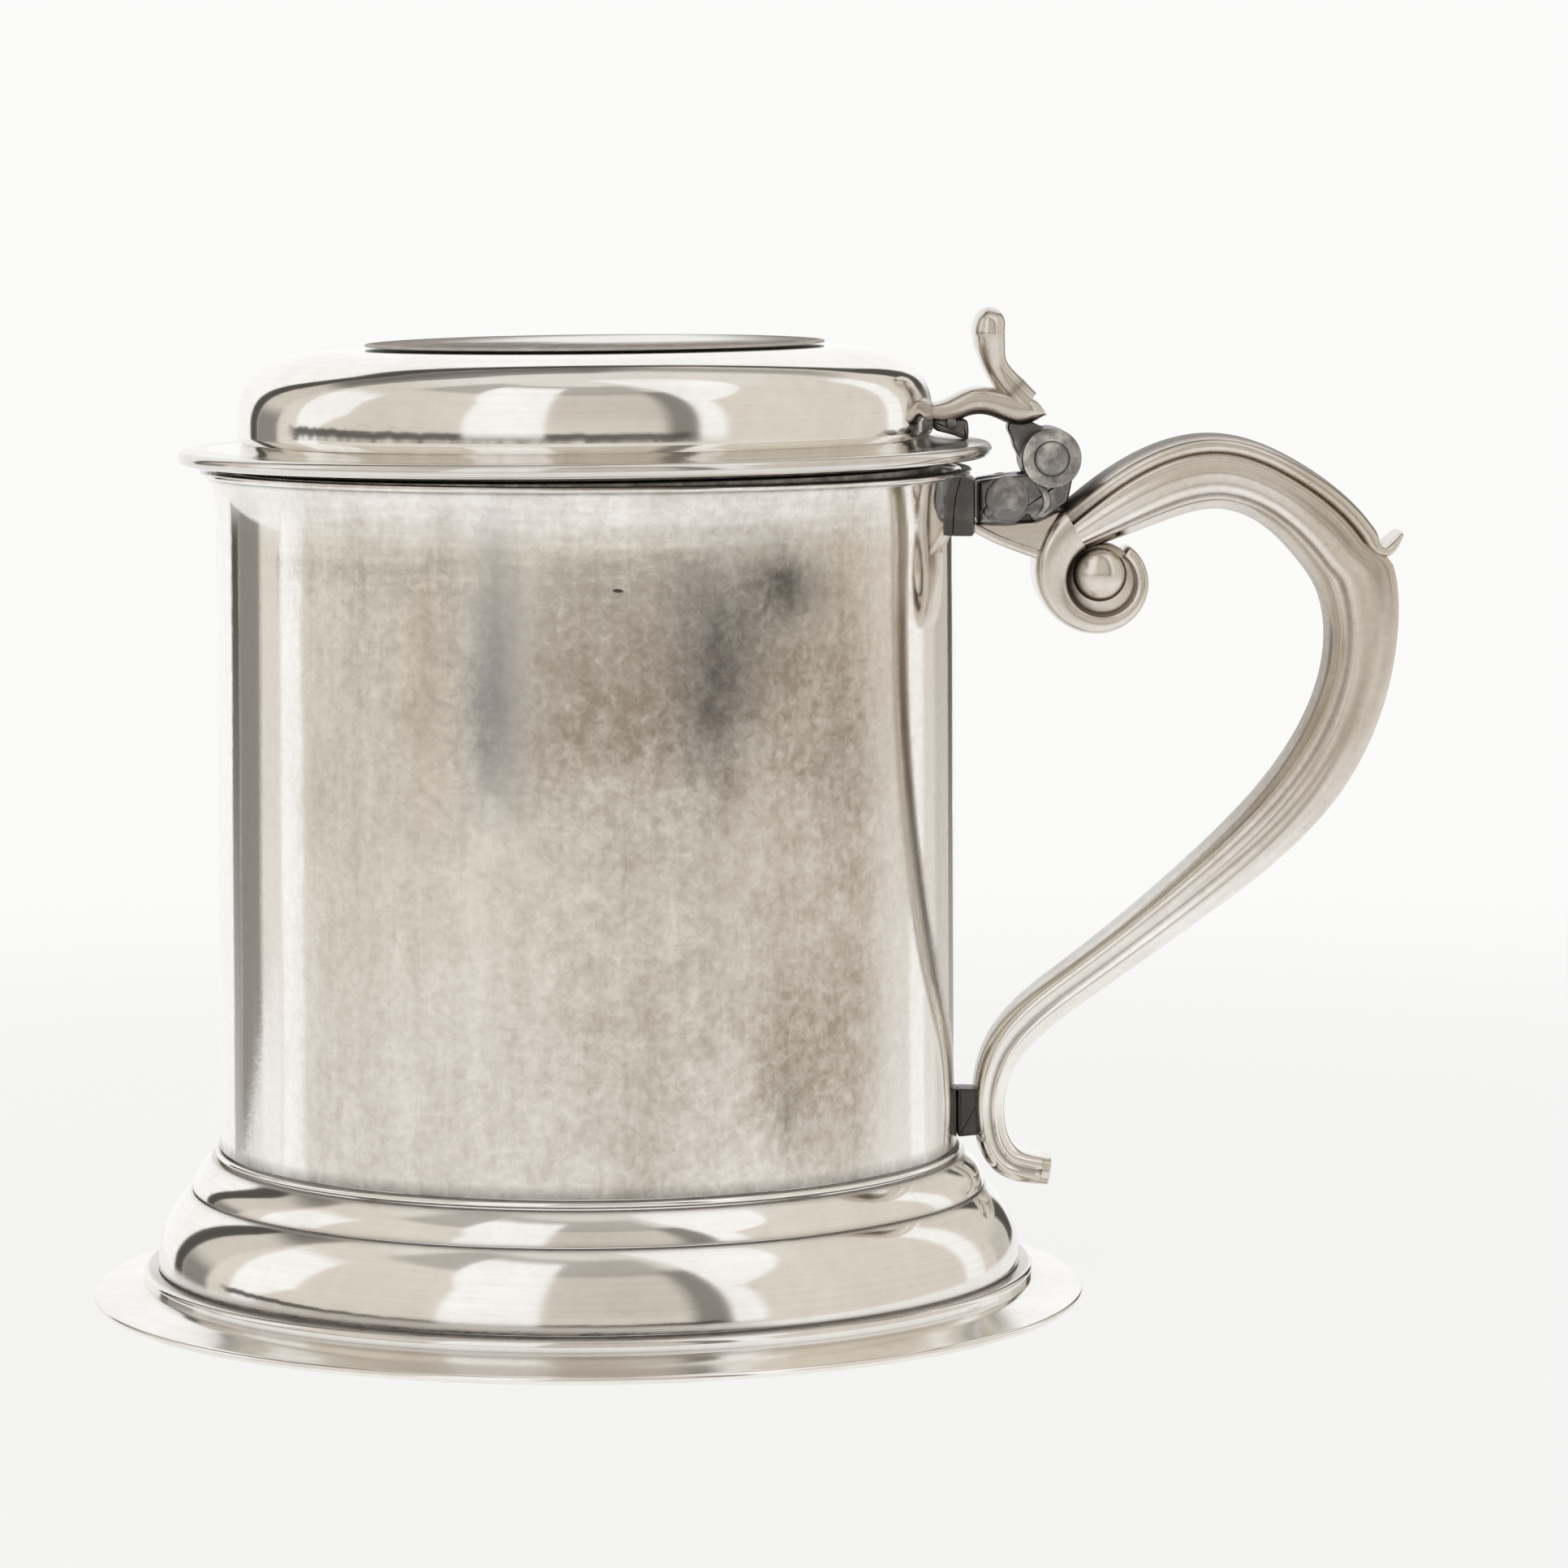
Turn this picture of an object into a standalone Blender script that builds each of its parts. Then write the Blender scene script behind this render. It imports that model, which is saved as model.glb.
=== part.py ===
"""Lidded silver tankard, built as the separate pieces a silversmith would join.

A tapering drum stands on a stepped, spreading foot. A hollow scroll handle is carried by the
hinge bracket at the top and by a strut at the bottom. A domed lid swings on a pinned hinge.
Metres, +Z up. The handle points to +X, and the origin lies on the table under the middle of
the whole outline. Heights and radii below are measured from the table and the drum's axis.
"""

import math

import bmesh
import bpy
import numpy as np
from mathutils import Matrix

# Fits
FIT_GAP = 0.0003
BEZEL_PLAY = 0.0005

# Fineness of curved surfaces
TURN_STEPS = 40
PIN_STEPS = 24
ARC_STEPS = 6
HANDLE_STATIONS = 52
STRAP_STATIONS = 18
VOLUTE_STATIONS = 22
SECTION_POINTS = 12
SPAN_SAMPLES = 24
MERGE_DISTANCE = 0.00001

# Drum
DRUM_RADIUS = 0.0479
DRUM_SPREAD = 0.0004
DRUM_WALL = 0.0012
DRUM_HEIGHT = 0.0882
LIP_FLARE = 0.0012
LIP_RISE = 0.0070
RIM_WIRE_HEIGHT = 0.0008
RIM_WIRE_DEPTH = 0.0008
FLOOR_THICKNESS = 0.0012
FLOOR_LIFT = 0.0006

# Foot, from the table up
FLANGE_EDGE = 0.0010
FLANGE_RISE = 0.0013
FLANGE_WIDTH = 0.0066
FILLET_HEIGHT = 0.0016
FILLET_STANDOUT = 0.0018
OVOLO_HEIGHT = 0.0098
OVOLO_SPREAD = 0.0045
BAND_HEIGHT = 0.0040
BAND_SPREAD = 0.0037
BAND_NECK = 0.0010
BAND_BULGE = 0.0004
BEAD_HEIGHT = 0.0008
BEAD_STANDOUT = 0.0006
FOOT_WALL = 0.0014

# Lid
LID_OVERHANG = 0.0049
LID_RIM_LIFT = 0.0007
LID_RIM_HEIGHT = 0.0015
LID_FLANGE_RISE = 0.0004
LID_SHOULDER = 0.0032
DOME_SETBACK = 0.0027
DOME_HEIGHT = 0.0121
DOME_SWELL = 0.0012
DOME_TUCK = 0.0009
DOME_WALL = 0.0012
DISC_RADIUS = 0.0298
DISC_SHIFT = 0.0014
DISC_THICKNESS = 0.0010
DISC_EDGE = 0.0003
DISC_SLOPE = 0.0050
BEZEL_DEPTH = 0.0040
BEZEL_WALL = 0.0010

# Hinge
HINGE_SETOUT = 0.0075
HINGE_RISE = 0.0012
HINGE_WIDTH = 0.0120
BARREL_RADIUS = 0.0039
PIN_RADIUS = 0.0022
PIN_DOME = 0.0003
LID_KNUCKLE_WIDTH = 0.0044
PAD_THICKNESS = 0.0012
PAD_HEIGHT = 0.0074
PAD_WIDTH = 0.0150
PAD_DROP = 0.0005
BRACKET_SHOULDER = 0.0022
BRACKET_HEEL = 0.0058
ROOT_RISE = 0.0012
ROOT_WIDTH = 0.0090

# Hinge strap and thumbpiece of the lid
STRAP_WIDTH = 0.0080
STRAP_ARCH = 0.0051
STRAP_LOBE = 0.0013
STRAP_APEX_SETBACK = 0.0067
STRAP_NOSE = 0.0021
LUG_WIDTH = 0.0070
LUG_LENGTH = 0.0045
THUMB_HEIGHT = 0.0112
THUMB_LEAN = 0.0037
THUMB_THICKNESS = 0.0043
THUMB_WIDTH = 0.0100

# Handle
HANDLE_REACH = 0.0489
HANDLE_STANDOFF = 0.0046
HANDLE_CROWN_DROP = 0.0019
HANDLE_TAIL_DROP = 0.0043
HANDLE_THICKNESS = 0.0097
HANDLE_WIDTH = 0.0140
HANDLE_WALL = 0.0010
BACK_STRAP = 0.0022
SPUR_LENGTH = 0.0036
SPUR_DROP = 0.0026
END_CAP = 0.0012
EYE_RADIUS = 0.0036
EYE_DOME = 0.0018
EYE_GROOVE = 0.00065
VOLUTE_TIP = 0.0018
VOLUTE_WIDTH = 0.0110
STRUT_HEIGHT = 0.0060
STRUT_LIFT = 0.0005
STRUT_WIDTH = 0.0050

# Handle line from the volute to the tail: how far out of the standoff as a share of the reach,
# how far up as a share of the handle's height, then its stoutness and its breadth as shares
HANDLE_LINE_SHARES = (
    (0.223, 0.920, 0.65, 0.93),
    (0.364, 0.961, 0.91, 0.97),
    (0.611, 1.000, 1.00, 1.00),
    (0.781, 0.967, 0.97, 0.99),
    (0.900, 0.913, 1.05, 0.98),
    (0.955, 0.873, 1.05, 0.96),
    (0.992, 0.781, 0.92, 0.94),
    (0.877, 0.581, 0.88, 0.87),
    (0.558, 0.406, 0.72, 0.77),
    (0.235, 0.273, 0.58, 0.67),
    (0.037, 0.172, 0.52, 0.61),
    (0.000, 0.085, 0.42, 0.57),
    (0.050, 0.014, 0.44, 0.57),
    (0.139, 0.000, 0.40, 0.56),
)
DOME_TUCK_SHARE = 0.2
DOME_SQUARENESS = 0.68
SPUR_SHARE = 0.280
SPUR_CLEAR_SHARE = 0.022
STRAP_FADE_SHARE = 0.014
VOLUTE_START_ANGLE = math.radians(50)

# Heights worked out from the sizes above
FLANGE_TOP = FLANGE_EDGE + FLANGE_RISE
FILLET_BASE = FLANGE_TOP + FIT_GAP
FILLET_TOP = FILLET_BASE + FILLET_HEIGHT
OVOLO_BASE = FILLET_TOP + FIT_GAP
OVOLO_TOP = OVOLO_BASE + OVOLO_HEIGHT
BAND_BASE = OVOLO_TOP + FIT_GAP
BAND_TOP = BAND_BASE + BAND_HEIGHT
BEAD_BASE = BAND_TOP + FIT_GAP
BEAD_TOP = BEAD_BASE + BEAD_HEIGHT
DRUM_BASE = BEAD_TOP + FIT_GAP
LIP_TOP = DRUM_BASE + DRUM_HEIGHT
LID_SEAT = LIP_TOP + FIT_GAP
LID_RIM_BASE = LID_SEAT + LID_RIM_LIFT
LID_RIM_TOP = LID_RIM_BASE + LID_RIM_HEIGHT
SHOULDER_TOP = LID_RIM_TOP + LID_FLANGE_RISE
DOME_BASE = SHOULDER_TOP + FIT_GAP
DOME_TOP = DOME_BASE + DOME_HEIGHT
DISC_BASE = DOME_TOP + FIT_GAP
HINGE_HEIGHT = LIP_TOP + HINGE_RISE
PAD_TOP = LIP_TOP - RIM_WIRE_HEIGHT - PAD_DROP
PAD_BASE = PAD_TOP - PAD_HEIGHT
ROOT_TOP = PAD_BASE + ROOT_RISE
LOBE_HEIGHT = HINGE_HEIGHT + BARREL_RADIUS
STRAP_UNDER = LOBE_HEIGHT + STRAP_LOBE
STRAP_TOP = LOBE_HEIGHT + STRAP_ARCH

# Radii worked out from the sizes above
DRUM_FOOT_RADIUS = DRUM_RADIUS + DRUM_SPREAD
BAND_RADIUS = DRUM_FOOT_RADIUS + BAND_SPREAD
OVOLO_RADIUS = BAND_RADIUS + OVOLO_SPREAD
FILLET_RADIUS = OVOLO_RADIUS + FILLET_STANDOUT
FLANGE_RADIUS = FILLET_RADIUS + FLANGE_WIDTH
LIP_RADIUS = DRUM_RADIUS + LIP_FLARE
RIM_RADIUS = LIP_RADIUS + FIT_GAP + RIM_WIRE_DEPTH
LID_RADIUS = DRUM_RADIUS + LID_OVERHANG
DOME_RADIUS = DRUM_RADIUS - DOME_SETBACK
HINGE_OUT = LID_RADIUS + HINGE_SETOUT
PAD_RADIUS = LIP_RADIUS + FIT_GAP + PAD_THICKNESS

# Finishes: colour and roughness of worn satin silver, polished silver and cast silver
SATIN = ((0.72, 0.68, 0.62), 0.34)
POLISHED = ((0.80, 0.77, 0.72), 0.18)
CAST = ((0.66, 0.61, 0.54), 0.30)
TARNISHED = ((0.36, 0.34, 0.32), 0.38)

for old in list(bpy.data.objects):
    bpy.data.objects.remove(old, do_unlink=True)

parts = bpy.data.collections.new("tankard")
cutters = bpy.data.collections.new("tankard_cutters")
bpy.context.scene.collection.children.link(parts)
bpy.context.scene.collection.children.link(cutters)


def empty(name, location, parent=None):
    """An axis to hang pieces on."""
    holder = bpy.data.objects.new(name, None)
    holder.location = location
    holder.parent = parent
    parts.objects.link(holder)
    return holder


def silver(name, finish):
    """A plain metal of one colour and roughness."""
    colour, roughness = finish
    material = bpy.data.materials.new(name)
    material.use_nodes = True
    shader = material.node_tree.nodes["Principled BSDF"]
    shader.inputs["Base Color"].default_value = (*colour, 1.0)
    shader.inputs["Metallic"].default_value = 1.0
    shader.inputs["Roughness"].default_value = roughness
    return material


def add_part(name, mesh, finish, parent, location=(0.0, 0.0, 0.0)):
    """Puts a piece in the tankard's collection with a finish of its own."""
    part = bpy.data.objects.new(name, mesh)
    part.location = location
    part.parent = parent
    mesh.materials.append(silver(name + "_silver", finish))
    mesh.shade_smooth()
    mesh.set_sharp_from_angle(angle=math.radians(35))
    parts.objects.link(part)
    return part


def add_cutter(name, mesh, parent, location=(0.0, 0.0, 0.0)):
    """Puts a cutting shape in the cutters' collection."""
    cutter = bpy.data.objects.new(name, mesh)
    cutter.location = location
    cutter.parent = parent
    cutter.hide_render = True
    cutter.display_type = "WIRE"
    cutters.objects.link(cutter)
    return cutter


def boolean(part, cutter, operation="DIFFERENCE"):
    """Cuts a part with another mesh."""
    cut = part.modifiers.new(cutter.name, "BOOLEAN")
    cut.operation = operation
    cut.solver = "EXACT"
    cut.object = cutter


def outline_mesh(name, outline, closed):
    """Points in the plane of radius and height, joined in order."""
    mesh = bpy.data.meshes.new(name)
    edges = [(i, i + 1) for i in range(len(outline) - 1)]
    if closed:
        edges.append((len(outline) - 1, 0))
    mesh.from_pydata([(radius, 0.0, height) for radius, height in outline], edges, [])
    return mesh


def turn(obj, steps=TURN_STEPS):
    """Turns an object's profile round its own Z axis."""
    screw = obj.modifiers.new("turn", "SCREW")
    screw.axis = "Z"
    screw.angle = 2 * math.pi
    screw.steps = steps
    screw.render_steps = steps
    screw.use_merge_vertices = True
    screw.merge_threshold = MERGE_DISTANCE
    screw.use_smooth_shade = True


def turned_ring(name, outline, finish, parent, location=(0.0, 0.0, 0.0)):
    """A ring turned from a closed outline that runs down its outer side."""
    ring = add_part(name, outline_mesh(name, outline, closed=True), finish, parent, location)
    turn(ring)
    return ring


def turned_solid(name, outline, finish, parent, location=(0.0, 0.0, 0.0)):
    """A solid turned from an outline that starts and ends on the axis."""
    solid = add_part(name, outline_mesh(name, outline, closed=False), finish, parent, location)
    turn(solid)
    return solid


def turned_cutter(name, outline, parent, location=(0.0, 0.0, 0.0), steps=TURN_STEPS):
    """A cutting solid turned from an outline that starts and ends on the axis."""
    cutter = add_cutter(name, outline_mesh(name, outline, closed=False), parent, location)
    turn(cutter, steps)
    return cutter


def tidy(mesh, flat=False):
    """Welds a mesh, makes each flat side one face where asked, and points its faces out."""
    work = bmesh.new()
    work.from_mesh(mesh)
    bmesh.ops.remove_doubles(work, verts=work.verts, dist=MERGE_DISTANCE / 10)
    if flat:
        bmesh.ops.dissolve_limit(
            work, angle_limit=math.radians(0.1), verts=work.verts, edges=work.edges
        )
    bmesh.ops.recalc_face_normals(work, faces=work.faces)
    work.to_mesh(mesh)
    work.free()
    return mesh


def plate_mesh(name, outline, width):
    """A flat outline in the X-Z plane, given a width along Y, half to each side."""
    curve = bpy.data.curves.new(name + "_outline", "CURVE")
    curve.dimensions = "2D"
    curve.fill_mode = "BOTH"
    curve.extrude = width / 2
    spline = curve.splines.new("POLY")
    spline.points.add(len(outline) - 1)
    for point, (out, height) in zip(spline.points, outline):
        point.co = (out, height, 0.0, 1.0)
    spline.use_cyclic_u = True
    guide = bpy.data.objects.new(name + "_outline", curve)
    cutters.objects.link(guide)
    graph = bpy.context.evaluated_depsgraph_get()
    mesh = bpy.data.meshes.new_from_object(guide.evaluated_get(graph))
    bpy.data.objects.remove(guide)
    mesh.transform(Matrix.Rotation(math.pi / 2, 4, "X"))
    return tidy(mesh, flat=True)


def box_mesh(name, low, high):
    """A box between two corners."""
    mesh = bpy.data.meshes.new(name)
    work = bmesh.new()
    bmesh.ops.create_cube(work, size=1.0)
    size = np.subtract(high, low)
    middle = np.add(high, low) / 2
    bmesh.ops.scale(work, vec=size, verts=work.verts)
    bmesh.ops.translate(work, vec=middle, verts=work.verts)
    work.to_mesh(mesh)
    work.free()
    return mesh


def loft_mesh(name, rings):
    """A skin over a row of rings, closed at both ends."""
    stations, count = rings.shape[:2]
    index = np.arange(stations * count).reshape(stations, count)
    onward = np.roll(index, -1, axis=1)
    sides = np.stack([index[:-1], onward[:-1], onward[1:], index[1:]], axis=-1)
    faces = sides.reshape(-1, 4).tolist() + [index[0].tolist(), index[-1].tolist()]
    mesh = bpy.data.meshes.new(name)
    mesh.from_pydata(rings.reshape(-1, 3).tolist(), [], faces)
    return tidy(mesh)


def arc(centre, radius, start, end, steps):
    """Points on a circular arc, angles in degrees."""
    angles = np.radians(np.linspace(start, end, steps + 1))
    return [(centre[0] + radius * math.cos(a), centre[1] + radius * math.sin(a)) for a in angles]


def half_round(inner, outer, base, top):
    """A ring's section with a rounded outer edge."""
    nose = (top - base) / 2
    middle = (top + base) / 2
    edge = arc((outer - nose, middle), nose, 90, -90, 4)
    return [(inner, top), *edge, (inner, base)]


def drum_outside(height):
    """The drum's outer radius: a slight taper, and a lip that turns out near the top."""
    spread = DRUM_SPREAD * (LIP_TOP - height) / DRUM_HEIGHT
    below_wire = LIP_TOP - RIM_WIRE_HEIGHT - height
    turned_out = min(1.0, max(0.0, 1.0 - below_wire / LIP_RISE))
    return DRUM_RADIUS + spread + LIP_FLARE * turned_out ** 2


def dome_outside(share):
    """A point of the dome: drawn in at its foot (0), then a squared quarter ellipse to its crown (1)."""
    widest = DOME_BASE + DOME_SWELL
    if share < DOME_TUCK_SHARE:
        below = 1.0 - share / DOME_TUCK_SHARE
        return DOME_RADIUS - DOME_TUCK * below**2, widest - DOME_SWELL * below
    angle = (share - DOME_TUCK_SHARE) / (1.0 - DOME_TUCK_SHARE) * math.pi / 2
    radius = DISC_RADIUS + (DOME_RADIUS - DISC_RADIUS) * abs(math.cos(angle)) ** DOME_SQUARENESS
    return radius, widest + (DOME_TOP - widest) * math.sin(angle) ** DOME_SQUARENESS


def smooth_line(knots, stations):
    """Evenly spaced stations on the natural cubic spline through every knot, by chord length."""
    knots = np.asarray(knots)
    span = np.linalg.norm(np.diff(knots[:, :2], axis=0), axis=1)[:, None]
    slope = np.diff(knots, axis=0) / span
    system = np.eye(len(knots))
    target = np.zeros_like(knots)
    inner = np.arange(1, len(knots) - 1)
    system[inner, inner - 1] = span[:-1, 0]
    system[inner, inner] = 2 * (span[:-1, 0] + span[1:, 0])
    system[inner, inner + 1] = span[1:, 0]
    target[inner] = 6 * np.diff(slope, axis=0)
    bend = np.linalg.solve(system, target)[:, None]
    after = np.linspace(0.0, 1.0, SPAN_SAMPLES, endpoint=False)[None, :, None]
    before = 1.0 - after
    spans = knots[:-1, None] * before + knots[1:, None] * after
    spans += span[:, None] ** 2 / 6 * (bend[:-1] * (before**3 - before) + bend[1:] * (after**3 - after))
    dense = np.vstack([spans.reshape(-1, knots.shape[1]), knots[-1:]])
    travelled = np.concatenate([[0.0], np.cumsum(np.hypot(*np.diff(dense[:, :2], axis=0).T))])
    wanted = np.linspace(0.0, travelled[-1], stations)
    return np.stack([np.interp(wanted, travelled, column) for column in dense.T], axis=-1)


def directions(line):
    """Unit vectors along a line of stations, and square to it towards its left side."""
    along = np.gradient(line[:, :2], axis=0, edge_order=2)
    along /= np.linalg.norm(along, axis=1, keepdims=True)
    return along, np.stack([-along[:, 1], along[:, 0]], axis=-1)


def rounded_section(thickness, width):
    """Rounded rectangles, one for each station, as offsets outward and across."""
    angles = np.linspace(0.0, 2 * math.pi, SECTION_POINTS, endpoint=False) + math.pi / SECTION_POINTS
    cosine, sine = np.cos(angles), np.sin(angles)
    outward = np.sign(cosine) * np.abs(cosine) ** 0.6
    across = np.sign(sine) * np.abs(sine) ** 0.6
    return np.stack([np.outer(thickness / 2, outward), np.outer(width / 2, across)], axis=-1)


def half_shell_section(line, covered, side):
    """One half of the hollow handle, split on its middle plane, under the back strap's cover."""
    angles = np.linspace(0.0, math.pi, SECTION_POINTS // 2 + 1)
    cosine = np.sign(np.cos(angles)) * np.abs(np.cos(angles)) ** 0.6
    sine = np.sin(angles) ** 0.6
    seam = FIT_GAP / 2

    def skin(inset):
        half = (line[:, 2] - covered) / 2 - inset
        outward = np.outer(half, cosine) - covered[:, None] / 2
        across = side * np.maximum(seam, np.outer(line[:, 3] / 2 - inset, sine))
        return np.stack([outward, across], axis=-1)

    return np.concatenate([skin(0.0), skin(HANDLE_WALL)[:, ::-1]], axis=1)


def sweep(line, section, outward=None):
    """Sets each station's section square to the line, as rings of points in space."""
    if outward is None:
        outward = directions(line)[1]
    rings = np.empty((*section.shape[:2], 3))
    rings[..., 0] = line[:, None, 0] + section[..., 0] * outward[:, None, 0]
    rings[..., 1] = section[..., 1]
    rings[..., 2] = line[:, None, 1] + section[..., 0] * outward[:, None, 1]
    return rings


def swept_mesh(name, line, grow=0.0, outward=None):
    """A solid bar along a line, grown on every side by a clearance."""
    section = rounded_section(line[:, 2] + 2 * grow, line[:, 3] + 2 * grow)
    return loft_mesh(name, sweep(line, section, outward))


def handle_line():
    """Stations of the handle's middle line: out, up, thickness, width."""
    crown = HINGE_HEIGHT - HANDLE_CROWN_DROP
    tail = DRUM_BASE - HANDLE_TAIL_DROP
    knots = [
        (
            DRUM_RADIUS + HANDLE_STANDOFF + out * HANDLE_REACH,
            tail + up * (crown - tail),
            stout * HANDLE_THICKNESS,
            broad * HANDLE_WIDTH,
        )
        for out, up, stout, broad in HANDLE_LINE_SHARES
    ]
    return smooth_line(knots, HANDLE_STATIONS)


def volute_turn(share, root):
    """Thickness and middle radius of the curl, from its tip (0) to the handle (1)."""
    thickness = VOLUTE_TIP + (root - VOLUTE_TIP) * share**2.2
    return thickness, EYE_RADIUS + FIT_GAP + EYE_GROOVE * share + thickness / 2


def eye_place(line):
    """The middle of the volute, so that the curl runs into the handle's first station."""
    radius = volute_turn(1.0, line[0, 2])[1]
    along, outward = directions(line)
    return line[0, :2] - radius * outward[0]


def volute_line(line):
    """Stations of the curl from its tip round the eye to the handle, and the way out from the eye."""
    eye = eye_place(line)
    outward = directions(line)[1][0]
    finish = math.atan2(outward[1], outward[0]) - 2 * math.pi
    finish += FIT_GAP / volute_turn(1.0, line[0, 2])[1]
    share = np.linspace(0.0, 1.0, VOLUTE_STATIONS)
    angle = VOLUTE_START_ANGLE + (finish - VOLUTE_START_ANGLE) * share
    thickness, radius = volute_turn(share, line[0, 2])
    width = VOLUTE_WIDTH + (line[0, 3] - VOLUTE_WIDTH) * share
    away = np.stack([np.cos(angle), np.sin(angle)], axis=-1)
    place = eye + radius[:, None] * away
    return np.column_stack([place, thickness, width]), away


def back_strap_line(line):
    """Stations of the strap on the handle's back, ending in a spur that kicks out."""
    last = SPUR_SHARE * (len(line) - 1)
    index = np.linspace(0.0, last, STRAP_STATIONS)
    base = np.stack([np.interp(index, np.arange(len(line)), column) for column in line.T], axis=-1)
    along, outward = directions(base)
    base[:, :2] += outward * (base[:, 2:3] - BACK_STRAP) / 2
    base[:, 2] = BACK_STRAP
    hook = ((0.68, 0.01, 0.95), (1.0, 0.22, 0.85), (1.0, 0.60, 0.75), (0.82, 1.0, 0.45))
    steps = [
        [
            *(base[-1, :2] + drop * SPUR_DROP * along[-1] + reach * SPUR_LENGTH * outward[-1]),
            thin * BACK_STRAP,
            base[-1, 3] * (1.0 - 0.3 * reach),
        ]
        for drop, reach, thin in hook
    ]
    return np.vstack([base, steps])


def strap_outline(grow=0.0):
    """Side view of the lid's hinge strap: arched above, with a lobe over the hinge."""
    apex = HINGE_OUT - STRAP_APEX_SETBACK
    start = DOME_RADIUS - LUG_LENGTH
    end = HINGE_OUT - STRAP_NOSE
    fall = STRAP_TOP - STRAP_UNDER
    rise = [(apex - (apex - start) * share, 0.88 * share**2) for share in np.linspace(1.0, 0.0, ARC_STEPS)]
    drop = [(apex + (end - apex) * share, 0.38 * share**2) for share in np.linspace(0.0, 1.0, ARC_STEPS)]
    top = [(out, STRAP_TOP + grow - fall * lost) for out, lost in (*rise, *drop[1:])]
    nose = (end + STRAP_NOSE * 0.8 + grow, STRAP_UNDER + 0.3 * fall)
    lobe_start = HINGE_OUT - 2.7 * STRAP_NOSE
    lobe_end = HINGE_OUT - 1.2 * STRAP_NOSE
    under = [
        (end + STRAP_NOSE * 0.5, STRAP_UNDER + 0.1 * fall),
        (lobe_end, LOBE_HEIGHT),
        (lobe_start, LOBE_HEIGHT),
        (lobe_start - 1.5 * STRAP_LOBE, STRAP_UNDER),
        (start, STRAP_UNDER),
    ]
    return [*top, nose, *under]


def build_drum(axis):
    """The drum, its rim wire and its floor."""
    shoulder = LIP_TOP - RIM_WIRE_HEIGHT
    flare = np.linspace(shoulder, shoulder - LIP_RISE, 5)
    heights = [LIP_TOP, *flare, DRUM_BASE]
    outside = [(drum_outside(height), height) for height in heights]
    inside = [(radius - DRUM_WALL, height) for radius, height in reversed(outside)]
    turned_ring("drum", [*outside, *inside], SATIN, axis)

    wire = half_round(LIP_RADIUS + FIT_GAP, RIM_RADIUS, shoulder, LIP_TOP)
    turned_ring("rim_wire", wire, SATIN, axis)

    floor_base = DRUM_BASE + FLOOR_LIFT
    floor_top = floor_base + FLOOR_THICKNESS
    floor_radius = drum_outside(floor_top) - DRUM_WALL - FIT_GAP
    floor = [(0.0, floor_top), (floor_radius, floor_top), (floor_radius, floor_base), (0.0, floor_base)]
    turned_solid("floor_disc", floor, SATIN, axis)


def build_foot(axis):
    """The foot's mouldings, from the drum down to the table."""
    bead = half_round(DRUM_FOOT_RADIUS - DRUM_WALL, DRUM_FOOT_RADIUS + BEAD_STANDOUT, BEAD_BASE, BEAD_TOP)
    turned_ring("base_bead", bead, POLISHED, axis)

    neck = DRUM_FOOT_RADIUS + BAND_NECK
    shares = np.linspace(0.0, 1.0, 5)
    band = [
        (
            neck + (BAND_RADIUS - neck) * share + BAND_BULGE * math.sin(math.pi * share),
            BAND_TOP - BAND_HEIGHT * share,
        )
        for share in shares
    ]
    hollow = [(radius - FOOT_WALL, height) for radius, height in reversed(band)]
    turned_ring("foot_band", [*band, *hollow], POLISHED, axis)

    swell = (OVOLO_SPREAD**2 + OVOLO_HEIGHT**2) / (2 * OVOLO_SPREAD)
    opening = math.degrees(math.asin(OVOLO_HEIGHT / swell))
    ovolo = arc((OVOLO_RADIUS - swell, OVOLO_BASE), swell, opening, 0, ARC_STEPS)
    hollow = [(radius - FOOT_WALL, height) for radius, height in reversed(ovolo)]
    turned_ring("foot_ovolo", [*ovolo, *hollow], POLISHED, axis)

    inner = OVOLO_RADIUS - FOOT_WALL
    turned_ring("foot_fillet", half_round(inner, FILLET_RADIUS, FILLET_BASE, FILLET_TOP), POLISHED, axis)

    nose = FLANGE_EDGE / 2
    edge = arc((FLANGE_RADIUS - nose, nose), nose, 90, -90, 4)
    flange = [(inner, FLANGE_TOP), (FILLET_RADIUS, FLANGE_TOP), *edge, (inner, 0.0)]
    turned_ring("foot_flange", flange, POLISHED, axis)


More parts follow.
